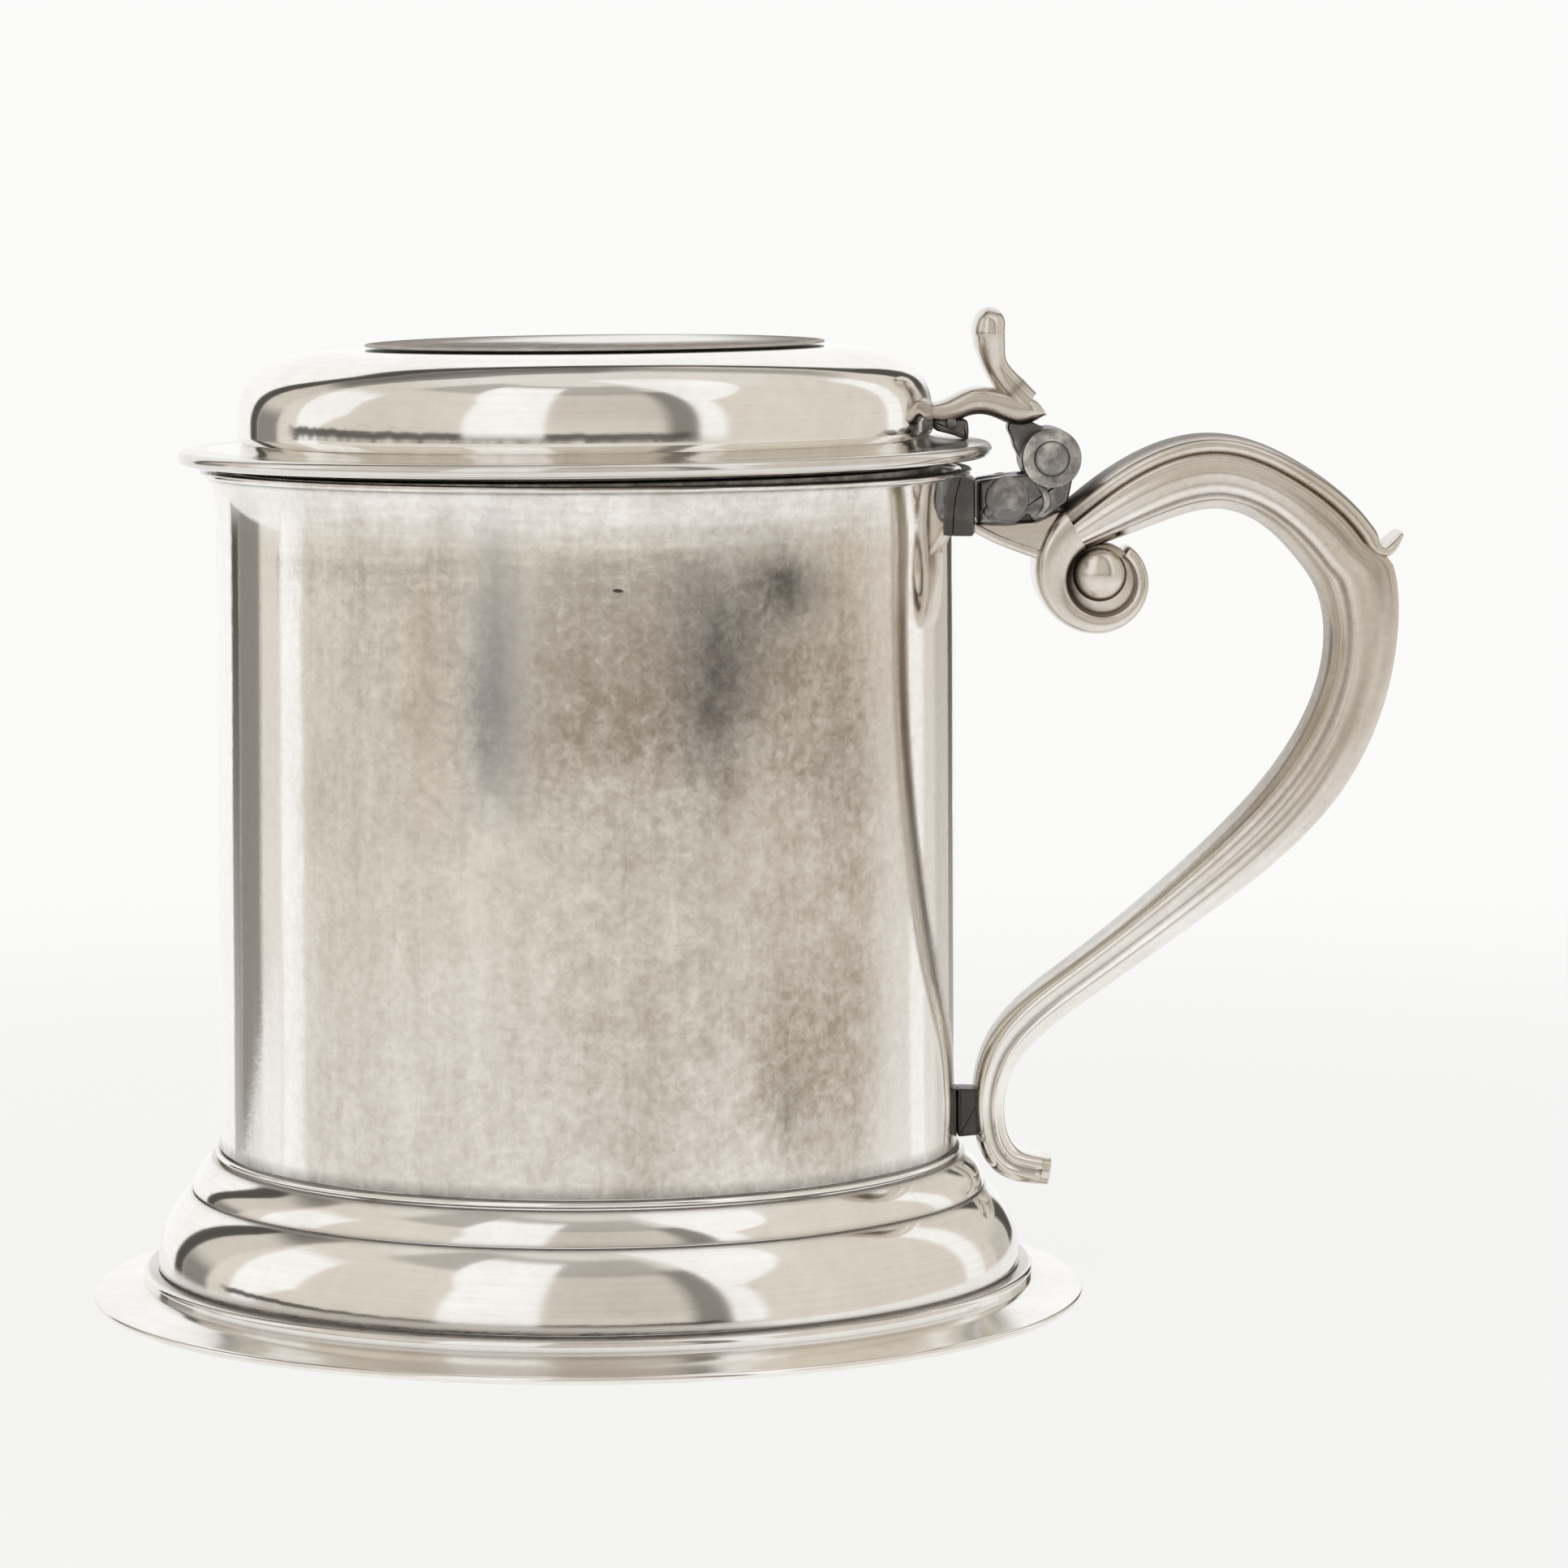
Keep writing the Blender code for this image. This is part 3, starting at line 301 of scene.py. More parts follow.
class TankardStage(bpy.types.PropertyGroup):
    """Camera, floor and studio."""

    camera_place: FloatVectorProperty(
        name="Camera place",
        description="Where the camera stands, from the drum's axis",
        default=(0.00009, -0.80122, 0.14747),
        size=3,
        precision=5,
        unit="LENGTH",
        subtype="TRANSLATION",
    )
    camera_pitch: angle_of("Camera pitch", "How far the camera looks down", 5.754)
    camera_yaw: angle_of("Camera yaw", "How far the camera turns towards the handle", 1.833)
    camera_roll: angle_of("Camera roll", "How far the camera leans", -0.105)
    lens: FloatProperty(
        name="Lens",
        description="Focal length on a 36 mm sensor",
        default=141.41,
        min=10.0,
        subtype="DISTANCE_CAMERA",
        unit="CAMERA",
    )
    backdrop: tint("Backdrop", "Colour that the camera sees behind the tankard", (0.968, 0.962, 0.955))
    floor: tint("Floor", "Colour of the table", (0.945, 0.942, 0.938))
    panel: tint("Side panels", "Colour of the pale panels that the silver mirrors", (0.74, 0.70, 0.63))


# ---------------------------------------------------------------- surfaces


def columns(*parts):
    """Arrays of matching shapes side by side, along a new last axis."""
    return np.stack(np.broadcast_arrays(*parts), axis=-1)


def full_turn(steps):
    """The angles of one whole turn, one to a row."""
    return np.linspace(0.0, 2 * math.pi, steps, endpoint=False)[:, None]


def eased(share):
    """A smooth step: three squares less two cubes of the share, once it is kept between 0 and 1."""
    share = np.clip(share, 0.0, 1.0)
    return share * share * (3 - 2 * share)


def falling(distance, width):
    """1 up to a place, and beyond it e to minus the distance over a width."""
    return np.exp(-np.clip(distance, 0.0, None) / width)


def waves(angle, height):
    """Hand-raised unevenness: a sum of five sines of angle and height, about -1 to 1."""
    return (
        np.sin(3 * angle + 0.9 + height / 23)
        + 0.8 * np.sin(5 * angle - 2.1 - height / 9.5)
        + 0.6 * np.sin(8 * angle + 1.7 + height / 6.2)
        + 0.5 * np.sin(13 * angle + 0.4 - height / 7.7)
        + 0.4 * np.sin(19 * angle - 1.1 + height / 4.9)
    ) / 2.2


def through(knots, spacing=SPAN_STEPS):
    """The natural cubic spline through the knots: bends solved so that slopes agree, by chord length."""
    knots = np.asarray(knots, float)
    span = np.linalg.norm(np.diff(knots[:, :2], axis=0), axis=1)[:, None]
    inner = np.arange(1, len(knots) - 1)
    system = np.eye(len(knots))
    system[inner, inner - 1] = span[:-1, 0]
    system[inner, inner] = 2 * (span[:-1, 0] + span[1:, 0])
    system[inner, inner + 1] = span[1:, 0]
    target = np.zeros_like(knots)
    target[inner] = 6 * np.diff(np.diff(knots, axis=0) / span, axis=0)
    bend = np.linalg.solve(system, target)[:, None]
    after = np.linspace(0.0, 1.0, spacing, endpoint=False)[None, :, None]
    before = 1.0 - after
    straight = knots[:-1, None] * before + knots[1:, None] * after
    bulge = bend[:-1] * (before**3 - before) + bend[1:] * (after**3 - after)
    spans = straight + span[:, None] ** 2 / 6 * bulge
    return np.vstack([spans.reshape(-1, knots.shape[1]), knots[-1:]])


def run_of(line):
    """Lengths along a line: the running sum of the distances between its points."""
    steps = np.linalg.norm(np.diff(line[:, :2], axis=0), axis=1)
    return np.concatenate([[0.0], np.cumsum(steps)])


def even(line, count):
    """Points at equal steps along a line, by interpolating every column on its run of length."""
    run = run_of(line)
    wanted = np.linspace(0.0, run[-1], count)
    return columns(*(np.interp(wanted, run, column) for column in line.T))


def directions(line):
    """Unit vectors along a line, and square to it on its left side, from its differences."""
    along = np.gradient(line[:, :2], axis=0, edge_order=2)
    along = along / np.linalg.norm(along, axis=1, keepdims=True)
    return along, columns(-along[:, 1], along[:, 0])


def rounded(corners, radius, steps=6):
    """A closed outline whose corners become parabolas between points set back along both edges."""
    corners = np.asarray(corners, float)
    radius = np.broadcast_to(np.asarray(radius, float), len(corners))[:, None]

    def set_back(step):
        """The point on the edge towards the neighbouring corner, at most half way along it."""
        edge = np.roll(corners, step, axis=0) - corners
        size = np.linalg.norm(edge, axis=1, keepdims=True)
        return (corners + edge / size * np.minimum(radius, 0.49 * size))[:, None]

    t = np.linspace(0.0, 1.0, steps)[None, :, None]
    arcs = (1 - t) ** 2 * set_back(1) + 2 * t * (1 - t) * corners[:, None] + t**2 * set_back(-1)
    return arcs.reshape(-1, 2)


def circle(centre, radius, start, end, count):
    """Points on an arc: centre plus radius times the cosine and sine of the angle, in degrees."""
    angle = np.radians(np.linspace(start, end, count))
    return columns(centre[0] + radius * np.cos(angle), centre[1] + radius * np.sin(angle))


class Skin:
    """A grid of points in mm from the drum's axis, with a tarnish and shading value for each point and its
    grain's place. The value stands for tarnish in hollows and for painted shade in creases, gaps and under
    parts; below zero it is a painted highlight.
    """

    def __init__(self, points, wrap_rows, wrap_columns, tarnish_and_shading=0.0, grain=None, caps=False):
        self.points = np.asarray(points, float)
        self.tarnish_and_shading = np.broadcast_to(np.asarray(tarnish_and_shading, float), self.points.shape[:2])
        self.grain = self.points if grain is None else grain
        self.wrap_rows = wrap_rows
        self.wrap_columns = wrap_columns
        self.caps = caps

    def faces(self):
        """Quads between neighbouring grid points, welded at poles, turned so that volume is positive."""
        rows, columns_across = self.points.shape[:2]
        index = np.arange(rows * columns_across).reshape(rows, columns_across)
        down = np.roll(index, -1, axis=0)
        right = np.roll(index, -1, axis=1)
        quads = np.stack([index, right, np.roll(down, -1, axis=1), down], axis=-1)
        quads = quads if self.wrap_rows else quads[:-1]
        quads = quads if self.wrap_columns else quads[:, :-1]
        flat = self.points.reshape(-1, 3)
        keys = np.round(flat * MM / WELD).astype(np.int64)
        _, first, same = np.unique(keys, axis=0, return_index=True, return_inverse=True)
        same = same.reshape(-1)
        quads = same[quads.reshape(-1, 4)]
        double = quads == np.roll(quads, -1, axis=1)
        kind = double.sum(axis=1)
        whole = quads[kind == 0]
        thirds = quads[kind == 1][~double[kind == 1]].reshape(-1, 3)
        lids = [same[index[0]], same[index[-1]][::-1]] if self.caps else []
        places = flat[first]
        fans = [columns(lid[0], lid[1:-1], lid[2:]) for lid in lids]
        corners = np.concatenate([whole[:, :3], whole[:, [0, 2, 3]], thirds, *fans])
        a, b, c = (places[corners[:, i]] for i in range(3))
        if np.einsum("ij,ij->i", a, np.cross(b, c)).sum() < 0:
            whole, thirds = whole[:, ::-1], thirds[:, ::-1]
            lids = [lid[::-1] for lid in lids]
        return first, places, whole.tolist() + thirds.tolist() + [lid.tolist() for lid in lids]


def turned(outline, steps, tarnish_and_shading=0.0, ripple=0.0):
    """A profile of radius and height carried round the drum's axis, its radius wavering by the ripple."""
    radius, height = np.asarray(outline, float).T
    angle = full_turn(steps)
    radius = radius + ripple * (radius > 1.0) * waves(angle, height)
    return Skin(columns(radius * np.cos(angle), radius * np.sin(angle), height), True, True, tarnish_and_shading)


def part_turned(outline, half_angle, steps, tarnish_and_shading=0.0):
    """A profile carried over a part of a turn about the axis, its ends drawn to their middles."""
    angle = np.linspace(-half_angle, half_angle, steps)
    angle = np.concatenate([angle[:1], angle, angle[-1:]])[:, None]
    profile = np.repeat(outline[None], len(angle), axis=0)
    profile[[0, -1]] = outline.mean(axis=0)
    radius, height = profile[..., 0], profile[..., 1]
    return Skin(columns(radius * np.cos(angle), radius * np.sin(angle), height), False, True, tarnish_and_shading)


def spun(centre, radii, along, steps, tarnish_and_shading=0.0):
    """Radii and places along Y carried round an axis along Y through the centre."""
    angle = full_turn(steps)
    x = centre[0] + radii * np.cos(angle)
    z = centre[1] + radii * np.sin(angle)
    return Skin(columns(x, along, z), True, True, tarnish_and_shading)


def swept(line, section, away=None, ends=(0.5, 0.5), tarnish_and_shading=0.0):
    """Sections of outward and across offsets set square to a line of out and up, with domed ends.

    Each end goes on by its length times the sine of an angle while the section shrinks by the cosine.
    """
    along, outward = directions(line)
    outward = outward if away is None else away
    tarnish_and_shading = np.broadcast_to(np.asarray(tarnish_and_shading, float), section.shape[:2])
    bend = np.linspace(math.pi / 2, 0.0, CAP_STEPS + 1)[:-1]
    onward, shrunk = np.sin(bend), np.cos(bend)
    place = np.concatenate(
        [
            line[0, :2] - ends[0] * onward[:, None] * along[0],
            line[:, :2],
            line[-1, :2] + ends[1] * onward[::-1, None] * along[-1],
        ]
    )
    size = np.concatenate([shrunk, np.ones(len(line)), shrunk[::-1]])
    size[[0, -1]] = 0.0
    rows = np.clip(np.arange(-CAP_STEPS, len(line) + CAP_STEPS), 0, len(line) - 1)
    middle = section.mean(axis=1, keepdims=True)
    shape = middle[rows] + (section[rows] - middle[rows]) * size[:, None, None]
    x, z = np.moveaxis(place[:, None] + shape[..., :1] * outward[rows][:, None], -1, 0)
    grain = columns(run_of(line)[rows][:, None], shape[..., 0], shape[..., 1])
    return Skin(columns(x, shape[..., 1], z), False, True, tarnish_and_shading[rows], grain)


def plate(outline, low, high, edge, tarnish_and_shading=0.0):
    """An outline of out and up given a width along Y, its rim drawn in by a quarter round at both sides."""
    ahead = np.roll(outline, -1, axis=0) - np.roll(outline, 1, axis=0)
    ahead = ahead / np.maximum(np.linalg.norm(ahead, axis=1, keepdims=True), 1e-9)
    inward = columns(-ahead[:, 1], ahead[:, 0])
    x, z = outline.T
    if np.sum(x * np.roll(z, -1) - np.roll(x, -1) * z) < 0:
        inward = -inward
    bend = np.linspace(0.0, math.pi / 2, 5)
    inset = edge * np.concatenate([1 - np.sin(bend), 1 - np.sin(bend[::-1])])
    width = np.concatenate([low + edge * (1 - np.cos(bend)), high - edge * (1 - np.cos(bend[::-1]))])
    flat = outline[None] + inset[:, None, None] * inward[None]
    return Skin(columns(flat[..., 0], width[:, None], flat[..., 1]), False, True, tarnish_and_shading, caps=True)


def collar(outline, centre, bore, low, high, tarnish_and_shading=0.0):
    """A ring about a bore: each ray from the centre carries a rounded oblong from bore to outline."""
    ray = outline - centre
    ray = ray / np.linalg.norm(ray, axis=1, keepdims=True)
    inner = centre + bore * ray
    box = rounded([(0.0, 0.0), (1.0, 0.0), (1.0, 1.0), (0.0, 1.0)], 0.12, 5)
    flat = inner[:, None] + (outline - inner)[:, None] * box[None, :, :1]
    across = low + (high - low) * box[:, 1]
    return Skin(columns(flat[..., 0], across, flat[..., 1]), True, True, tarnish_and_shading)


def boss(centre, radius, face, rise, side, steps):
    """A low dome on a cheek: a quarter ellipse of the given rise turned about an axis along Y."""
    bend = np.linspace(0.0, math.pi / 2, 9)
    radii = np.concatenate([[0.0, radius], radius * np.cos(bend), [0.0]])
    lift = np.concatenate([[-0.3, -0.3], rise * np.sin(bend), [rise]])
    return spun(centre, radii, side * (face + lift), steps)


def canted(points, angle):
    """Points turned about a line along Y at the lid's front edge, so that the hinge side rises."""
    front = np.array([-reach("lid_flange"), 0.0, base_of("lid_flange")])
    x, y, z = np.moveaxis(points - front, -1, 0)
    x, z = x * math.cos(angle) - z * math.sin(angle), x * math.sin(angle) + z * math.cos(angle)
    return columns(x, y, z) + front


def add_piece(name, skins, body, node, material, sharp=35.0):
    """Joins skins into one mesh in the frame's metres, hangs it on the empty of what it rides on, and hides
    the frame's part that it stands for.
    """
    places, faces, tarnish_and_shading, grain, count = [], [], [], [], 0
    for skin in skins:
        first, points, found = skin.faces()
        places.append(points)
        tarnish_and_shading.append(skin.tarnish_and_shading.reshape(-1)[first])
        grain.append(skin.grain.reshape(-1, 3)[first])
        faces += [[corner + count for corner in face] for face in found]
        count += len(points)
    places = np.concatenate(places) * MM
    places[:, 0] += AXIS_X
    mesh = bpy.data.meshes.new(name)
    mesh.from_pydata(places.tolist(), [], faces)
    # Tarnish and shading value: tarnish and painted shade where high, painted highlight below zero
    mesh.attributes.new("tarnish_and_shading", "FLOAT", "POINT").data.foreach_set(
        "value", np.clip(np.concatenate(tarnish_and_shading), -1.0, 1.0).astype(np.float32)
    )
    mesh.attributes.new("grain", "FLOAT_VECTOR", "POINT").data.foreach_set(
        "vector", (np.concatenate(grain) * MM).astype(np.float32).reshape(-1)
    )
    mesh.shade_smooth()
    mesh.set_sharp_from_angle(angle=math.radians(sharp))
    mesh.materials.append(material)
    mesh.update()
    piece = bpy.data.objects.new(name, mesh)
    bpy.context.scene.collection.objects.link(piece)
    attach(piece, body)
    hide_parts(node)


# ---------------------------------------------------------------- finishes


class Value:
    """A socket in a node tree. Sums with it add Math nodes."""

    def __init__(self, bench, socket):
        self.bench = bench
        self.socket = socket

    def sum(self, operation, *terms, clamp=False):
        settings = {"operation": operation, "use_clamp": clamp}
        return self.bench.node("ShaderNodeMath", settings, dict(enumerate(terms)))

    def __add__(self, other):
        return self.sum("ADD", self, other)

    def __radd__(self, other):
        return self.sum("ADD", other, self)

    def __sub__(self, other):
        return self.sum("SUBTRACT", self, other)

    def __rsub__(self, other):
        return self.sum("SUBTRACT", other, self)

    def __mul__(self, other):
        return self.sum("MULTIPLY", self, other)

    def __truediv__(self, other):
        return self.sum("DIVIDE", self, other)

    def __pow__(self, other):
        return self.sum("POWER", self, other)

    def __rpow__(self, other):
        return self.sum("POWER", other, self)

    def __abs__(self):
        return self.sum("ABSOLUTE", self)

    def at_most(self, other):
        return self.sum("MINIMUM", self, other)

    def at_least(self, other):
        return self.sum("MAXIMUM", self, other)

    def held(self):
        """Kept between 0 and 1."""
        return self.sum("ADD", self, 0.0, clamp=True)

    def rise(self, low, high):
        """0 below low and 1 above high, with a smooth step between."""
        settings = {"interpolation_type": "SMOOTHSTEP"}
        sockets = {"Value": self, "From Min": low, "From Max": high}
        return self.bench.node("ShaderNodeMapRange", settings, sockets)

    def band(self, low, high, soft):
        """1 between low and high, with smooth edges."""
        return self.rise(low - soft, low + soft) * (1 - self.rise(high - soft, high + soft))


class Bench:
    """Adds nodes to one tree."""

    def __init__(self, tree):
        self.tree = tree
        tree.nodes.clear()

    def node(self, kind, settings=None, sockets=None, out=0):
        """One node: its settings first, then the values or links of its sockets; gives one output."""
        node = self.tree.nodes.new(kind)
        for name, value in (settings or {}).items():
            setattr(node, name, value)
        for name, value in (sockets or {}).items():
            if isinstance(value, Value):
                self.tree.links.new(value.socket, node.inputs[name])
            else:
                node.inputs[name].default_value = value
        return Value(self, node.outputs[out]) if node.outputs else None

    def mix(self, factor, first, second):
        """A colour between two colours."""
        settings = {"data_type": "RGBA", "clamp_factor": True}
        pair = [value if isinstance(value, Value) else (*value, 1.0) for value in (first, second)]
        return self.node("ShaderNodeMix", settings, {0: factor, 6: pair[0], 7: pair[1]}, out=2)

    def scaled(self, vector, factors):
        """A vector times a scale for each axis."""
        sockets = {0: vector, 1: factors}
        return self.node("ShaderNodeVectorMath", {"operation": "MULTIPLY"}, sockets)

    def in_mm(self, vector):
        """A vector in metres, as mm."""
        return self.scaled(vector, (1 / MM, 1 / MM, 1 / MM))

    def place(self, centre=None):
        """Where a point is on its object, in mm, and from the centre if one is given."""
        place = self.node("ShaderNodeTexCoord", out=3)
        if centre is not None:
            place = self.node("ShaderNodeMapping", None, {"Vector": place, "Location": (-centre, 0.0, 0.0)})
        return self.in_mm(place)

    def attribute(self, name, out=2):
        """A mesh attribute: output 1 is a vector and 2 a number."""
        return self.node("ShaderNodeAttribute", {"attribute_name": name}, out=out)

    def axes(self, vector):
        """The three numbers of a vector."""
        node = self.node("ShaderNodeSeparateXYZ", None, {"Vector": vector}).socket.node
        return [Value(self, node.outputs[i]) for i in range(3)]

    def noise(self, vector, scale, detail, rough, twist=0.0):
        """Fractal noise between 0 and 1, drawn out along an axis where scale is one for each."""
        if isinstance(scale, tuple):
            vector, scale = self.scaled(vector, scale), 1.0
        sockets = {
            "Vector": vector, "Scale": scale, "Detail": detail, "Roughness": rough, "Distortion": twist
        }
        return self.node("ShaderNodeTexNoise", None, sockets)


def new_material(name):
    """A material and a bench for its nodes."""
    material = bpy.data.materials.new(name)
    material.use_nodes = True
    return material, Bench(material.node_tree)


def silver_shader(bench, colour, roughness, bumps, depth, metal=1.0, gloss=0.5):
    """Metal of varying colour and roughness, with relief in metres; gloss is that of its tarnish."""
    normal = bench.node("ShaderNodeBump", None, {"Strength": 1.0, "Distance": depth, "Height": bumps})
    sockets = {"Base Color": colour, "Roughness": roughness, "Metallic": metal, "Normal": normal}
    sockets["Specular IOR Level"] = gloss
    shader = bench.node("ShaderNodeBsdfPrincipled", None, sockets)
    bench.node("ShaderNodeOutputMaterial", None, {"Surface": shader})


def spot(x, z, centre, size):
    """A soft round stain: e to minus the squared distance over its size, in mm."""
    across = (x - centre[0]) / size[0]
    up = (z - centre[1]) / size[1]
    return math.e ** (0 - across * across - up * up)


def stains(x, z, marks):
    """The sum of several spots, each times its strength."""
    return sum(spot(x, z, centre, size) * strength for centre, size, strength in marks)


def drum_finish(look):
    """Satin silver: vertical rubbing, fine mottling, broad brown bloom and a few known stains, with the sides
    of the camera's half painted cleaner and lighter as a painted sheen.
    """
    material, bench = new_material("satin_drum_silver")
    mm = bench.place(AXIS_X)
    true_x, y, true_z = bench.axes(mm)
    tarnish_and_shading = bench.attribute("tarnish_and_shading")
    front = 1 - y.rise(-12.0, 4.0)
    rubbing = bench.noise(mm, (1.0, 1.0, 0.05), 3.0, 0.6) - 0.5
    wipe = bench.noise(mm, (0.16, 0.16, 0.018), 3.0, 0.55) - 0.5
    fine = bench.noise(mm, 0.80, 3.0, 0.62, 0.5) - 0.5
    clot = bench.noise(mm, (0.30, 0.30, 0.24), 4.0, 0.62, 0.6) - 0.5
    smear = (bench.noise(mm, (0.06, 0.06, 0.7), 3.0, 0.6) - 0.5) * true_z.rise(92.0, 99.0)
    drift = bench.noise(mm, 0.05, 3.0, 0.55, 0.4) - 0.5
    # Painted sheen: the sides of the camera's half, where the drum is seen edge on, cleaner and lighter
    polished = abs(true_x).rise(33.0, 39.0) * front
    x = true_x + clot * 4.0 + fine * 1.2
    z = true_z + drift * 10.0 + clot * 9.0
    bloom = stains(x, z, BLOOM_STAINS) * front + (drift * 0.9 + 0.26).held() * (1 - front)
    soot = (stains(x, z, SOOT_STAINS) * front * (0.92 + fine * 0.6 + wipe * 0.9)).held()
    age = 0.19 + bloom * (0.85 + fine * 1.0 + clot * 0.9)
    age = age + fine * 0.62 + clot * 0.50 + drift * 0.36
    age = (age + wipe * 0.62 + rubbing * 0.24 + smear * 0.7).held()
    age = age * (1 - polished * 0.6)
    cool = spot(x, z, (-11.4, 84.0), (3.2, 15.0)) * front
    pink = spot(x, z, (-20.0, 82.0), (2.4, 11.0)) * front
    colour = bench.mix(age, bench.mix(polished, look.satin[:], look.clean[:]), look.bloom[:])
    colour = bench.mix(pink * 0.35, colour, (0.66, 0.53, 0.45))
    colour = bench.mix(cool * 0.60, colour, (0.47, 0.49, 0.52))
    colour = bench.mix(soot, colour, look.soot[:])
    pit = spot(true_x + (true_z - 95.4) * 0.45, true_z, (3.9, 95.4), (0.75, 0.30)) * front
    # Black from the tarnish and shading value: tarnish and painted crease shade under the rim wire and at the
    # base, plus one dark pit
    hollow = (tarnish_and_shading * (0.8 + clot * 0.9) + pit.rise(0.30, 0.65)).held()
    colour = bench.mix(hollow * 0.9, colour, look.crease[:])
    roughness = look.satin_rough + age * 0.20 + soot * 0.10 + hollow * 0.3 + rubbing * 0.04
    relief = fine * 0.7 + rubbing * 0.5 + clot * 0.6 - hollow * 2.0
    silver_shader(bench, colour, roughness, relief, 0.000006)
    return material


def polish_finish(look):
    """Polished silver: turned polishing lines, faint bloom, and black tarnish and painted crease shade broken
    along the creases.
    """
    material, bench = new_material("polished_turned_silver")
    mm = bench.place(AXIS_X)
    tarnish_and_shading = bench.attribute("tarnish_and_shading")
    lines = bench.noise(mm, (0.03, 0.03, 2.6), 3.0, 0.6)
    mottle = bench.noise(mm, 0.55, 4.0, 0.6)
    drift = bench.noise(mm, 0.06, 3.0, 0.5, 0.5)
    dashes = bench.noise(mm, (0.38, 0.38, 1.3), 4.0, 0.65)
    stain = bench.noise(mm, (0.20, 0.20, 0.9), 4.0, 0.6).rise(0.60, 0.75)
    age = 0.10 + (drift - 0.5) * 0.45 + (lines - 0.5) * 0.25 + (mottle - 0.5) * 0.22 + stain * 0.12
    # Bloom, brown and black grow with the tarnish and shading value: tarnish in the hollows and painted shade
    # in creases, gaps and under the hinge
    age = (age + tarnish_and_shading * 0.35).held()
    colour = bench.mix(age, look.clean[:], look.bloom[:])
    colour = bench.mix((tarnish_and_shading * 1.3).held() * 0.75, colour, (0.17, 0.125, 0.095))
    hollow = (tarnish_and_shading * 1.5 - 0.85 + (dashes - 0.5) * 3.2 * tarnish_and_shading.rise(0.05, 0.5)).held()
    colour = bench.mix(hollow * 0.95, colour, look.crease[:])
    patina = (tarnish_and_shading * 1.25 - 0.12).held()
    worn = 1 - bench.axes(mm)[2].rise(2.0, 2.8)
    roughness = look.polish_rough + age * 0.10 + patina * 0.45 + worn * 0.05 + (lines - 0.5) * 0.03
    relief = lines * 0.5 + mottle * 0.35 - hollow * 1.2
    silver_shader(bench, colour, roughness, relief, 0.000003, 1 - patina)
    return material


def disc_finish(look):
    """Matte tarnish of the lid's disc: silver where it is rubbed, brown with fine mottling elsewhere."""
    material, bench = new_material("tarnished_disc_silver")
    mm = bench.place()
    tarnish_and_shading = bench.attribute("tarnish_and_shading")
    mottle = bench.noise(mm, 0.7, 4.0, 0.62, 0.4) - 0.5
    drift = bench.noise(mm, 0.10, 3.0, 0.55, 0.6) - 0.5
    spread = tarnish_and_shading * (0.95 + mottle * 0.5 + drift * 0.5)
    age = (0.06 + spread + drift * 0.06 + mottle * 0.10).held()
    colour = bench.mix(age, look.clean[:], (0.215, 0.185, 0.145))
    roughness = look.polish_rough + 0.22 + age * 0.30
    silver_shader(bench, colour, roughness, mottle, 0.000004, 1 - age * 0.92, 0.0)
    return material


def cast_finish(look):
    """Cast silver: streaks that follow the handle, warm bloom lighter along the lower run (rubbing and
    painted highlight), and black left in the mouldings (tarnish and painted shade).
    """
    material, bench = new_material("cast_scroll_silver")
    mm = bench.in_mm(bench.attribute("grain", 1))
    tarnish_and_shading = bench.attribute("tarnish_and_shading")
    streak = bench.noise(mm, (0.10, 0.9, 0.9), 3.0, 0.6)
    mottle = bench.noise(mm, 0.9, 4.0, 0.6)
    drift = bench.noise(mm, (0.05, 0.12, 0.12), 2.0, 0.5)
    flake = bench.noise(mm, 1.7, 2.0, 0.5).rise(0.66, 0.78)
    run = bench.axes(mm)[0]
    # Darker along run 30 to 75 mm and lighter from 90 to 150 mm: wear, and a painted highlight on the lower
    # run
    wear_and_sheen = run.band(30.0, 75.0, 12.0) * 0.20 - run.band(90.0, 150.0, 15.0) * 0.38
    age = 0.36 + wear_and_sheen + (drift - 0.5) * 0.75 + (streak - 0.5) * 0.38 + (mottle - 0.5) * 0.30
    age = (age + tarnish_and_shading * 0.55 + flake * 0.2).held()
    colour = bench.mix(age, look.clean[:], (0.50, 0.41, 0.315))
    # Black from the tarnish and shading value: tarnish in the mouldings and painted shade on the inner side,
    # at the edges and under the hinge
    hollow = (tarnish_and_shading * 1.15 - 0.22 + (mottle - 0.5) * 0.20 * tarnish_and_shading.rise(0.05, 0.5)).held()
    colour = bench.mix(hollow * 0.92, colour, look.crease[:])
    roughness = look.cast_rough + age * 0.12 + hollow * 0.25 + (mottle - 0.5) * 0.06
    relief = mottle * 0.6 + streak * 0.5 + flake * 0.5 - hollow * 0.5
    silver_shader(bench, colour, roughness, relief, 0.000010)
    return material


